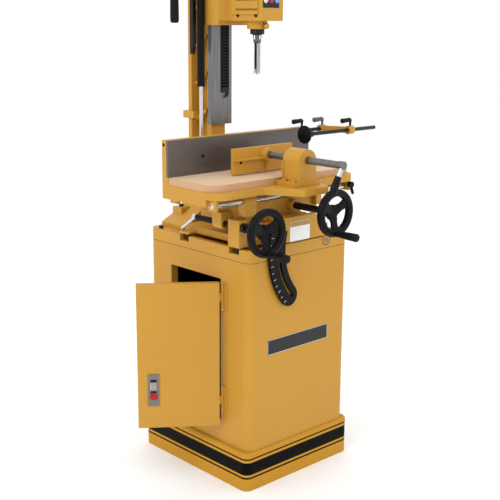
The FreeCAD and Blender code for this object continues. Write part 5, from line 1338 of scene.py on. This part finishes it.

# Painted shade for the bore in the fence's left end, and screw heads of the fence and jaw
END_BORE = (-313 * MM, 0, 991 * MM)
END_BORE_RADIUS = 5 * MM
FENCE_SCREWS = tuple((across, -19 * MM, 951 * MM) for across in (-188 * MM, 118 * MM))
FENCE_SCREW_RADIUS = 5 * MM
JAW_SCREWS = tuple((across, -116 * MM, 937 * MM) for across in (-130 * MM, 62 * MM))
JAW_SCREW_RADIUS = 4.5 * MM
SCREW_TALL = 0.8 * MM
# A black disc stands for the shade inside the bore
dome("fence_end_bore", "table", END_BORE, -X, END_BORE_RADIUS, MARK_PROUD, "black_plastic")
for name, body, places, radius in (
    ("fence_screw", "table", FENCE_SCREWS, FENCE_SCREW_RADIUS),
    ("jaw_screw", "jaw", JAW_SCREWS, JAW_SCREW_RADIUS),
):
    for number, place in enumerate(places):
        dome(f"{name}_{number}", body, place, -Y, radius, SCREW_TALL, "black_plastic")

# Scale on the tilting quadrant
PIVOT = Vector((105 * MM, -244 * MM, 699 * MM))
SCALE_RADIUS = 240 * MM
SCALE_TURNS = range(170, 222, 5)
TICK_HALF = 0.7 * MM
TICK_LONG = 7 * MM
LONG_TICK = 10 * MM
TICK_PROUD = 0.25 * MM
TICK_POINTS = 8
TICK_SQUARENESS = 0.3


def tilt_scale():
    """Ticks along the quadrant's outer edge, every second one long."""
    mesh = bmesh.new()
    for number, degrees in enumerate(SCALE_TURNS):
        turn = math.radians(degrees)
        out = Vector((math.cos(turn), 0, math.sin(turn)))
        long = LONG_TICK if number % 2 == 0 else TICK_LONG
        start = PIVOT + out * (SCALE_RADIUS - long) - Y * TICK_PROUD * HALF
        stations = [(start, TICK_HALF, TICK_PROUD), (start + out * long, TICK_HALF, TICK_PROUD)]
        swept(mesh, stations, out.cross(Y), TICK_SQUARENESS, TICK_POINTS)
    publish("tilt_scale", mesh, "dot_pale", "tilt_base")


tilt_scale()

# Floor and lights
FLOOR_HALF = 60.0
FLOOR_DROP = 0.2 * MM
FLOOR_CELLS = 4
FLOOR_BROAD_SCALE = 0.7
FLOOR_ROUGH = 0.8
FLOOR_SHADE = (250, 250, 250)
FLOOR_PALE = (254, 254, 254)
WHITE = (1, 1, 1, 1)
ROOM_LIGHT = 1.03

# Lights: name, place, the point that they face, width and power
LIGHTS = (
    ("key light", (0.9, -3.6, 3.0), (0, 0, 0.8), 2.4, 20),
    ("side light", (-2.9, -0.5, 2.9), (0, 0, 1.3), 1.8, 34),
    ("top light", (0.2, 0.4, 4.2), (0, 0, 0.8), 2.2, 25),
)


def make_floor():
    material, tree = empty_material("studio floor")
    skin = use(tree, mottle, broad_scale=FLOOR_BROAD_SCALE)
    colour = blend_colours(tree, skin["Tone"], linear(FLOOR_SHADE), linear(FLOOR_PALE))
    close_material(tree, {"Base Color": colour, "Roughness": FLOOR_ROUGH})
    mesh = bmesh.new()
    bmesh.ops.create_grid(mesh, x_segments=FLOOR_CELLS, y_segments=FLOOR_CELLS, size=FLOOR_HALF)
    data = bpy.data.meshes.new("floor")
    mesh.to_mesh(data)
    mesh.free()
    data.materials.append(material)
    floor = bpy.data.objects.new("floor", data)
    floor.location.z = -FLOOR_DROP
    scene.collection.objects.link(floor)


def make_world():
    world = bpy.data.worlds.new("studio")
    world.use_nodes = True
    background = world.node_tree.nodes["Background"]
    background.inputs["Color"].default_value = WHITE
    background.inputs["Strength"].default_value = ROOM_LIGHT
    scene.world = world


def make_light(name, place, target, across, power):
    data = bpy.data.lights.new(name, "AREA")
    data.energy = power
    data.size = across
    light = bpy.data.objects.new(name, data)
    light.location = place
    light.rotation_mode = "QUATERNION"
    light.rotation_quaternion = (Vector(target) - Vector(place)).to_track_quat("-Z", "Y")
    scene.collection.objects.link(light)


make_floor()
make_world()
for light in LIGHTS:
    make_light(*light)


scene.view_settings.view_transform = "Standard"
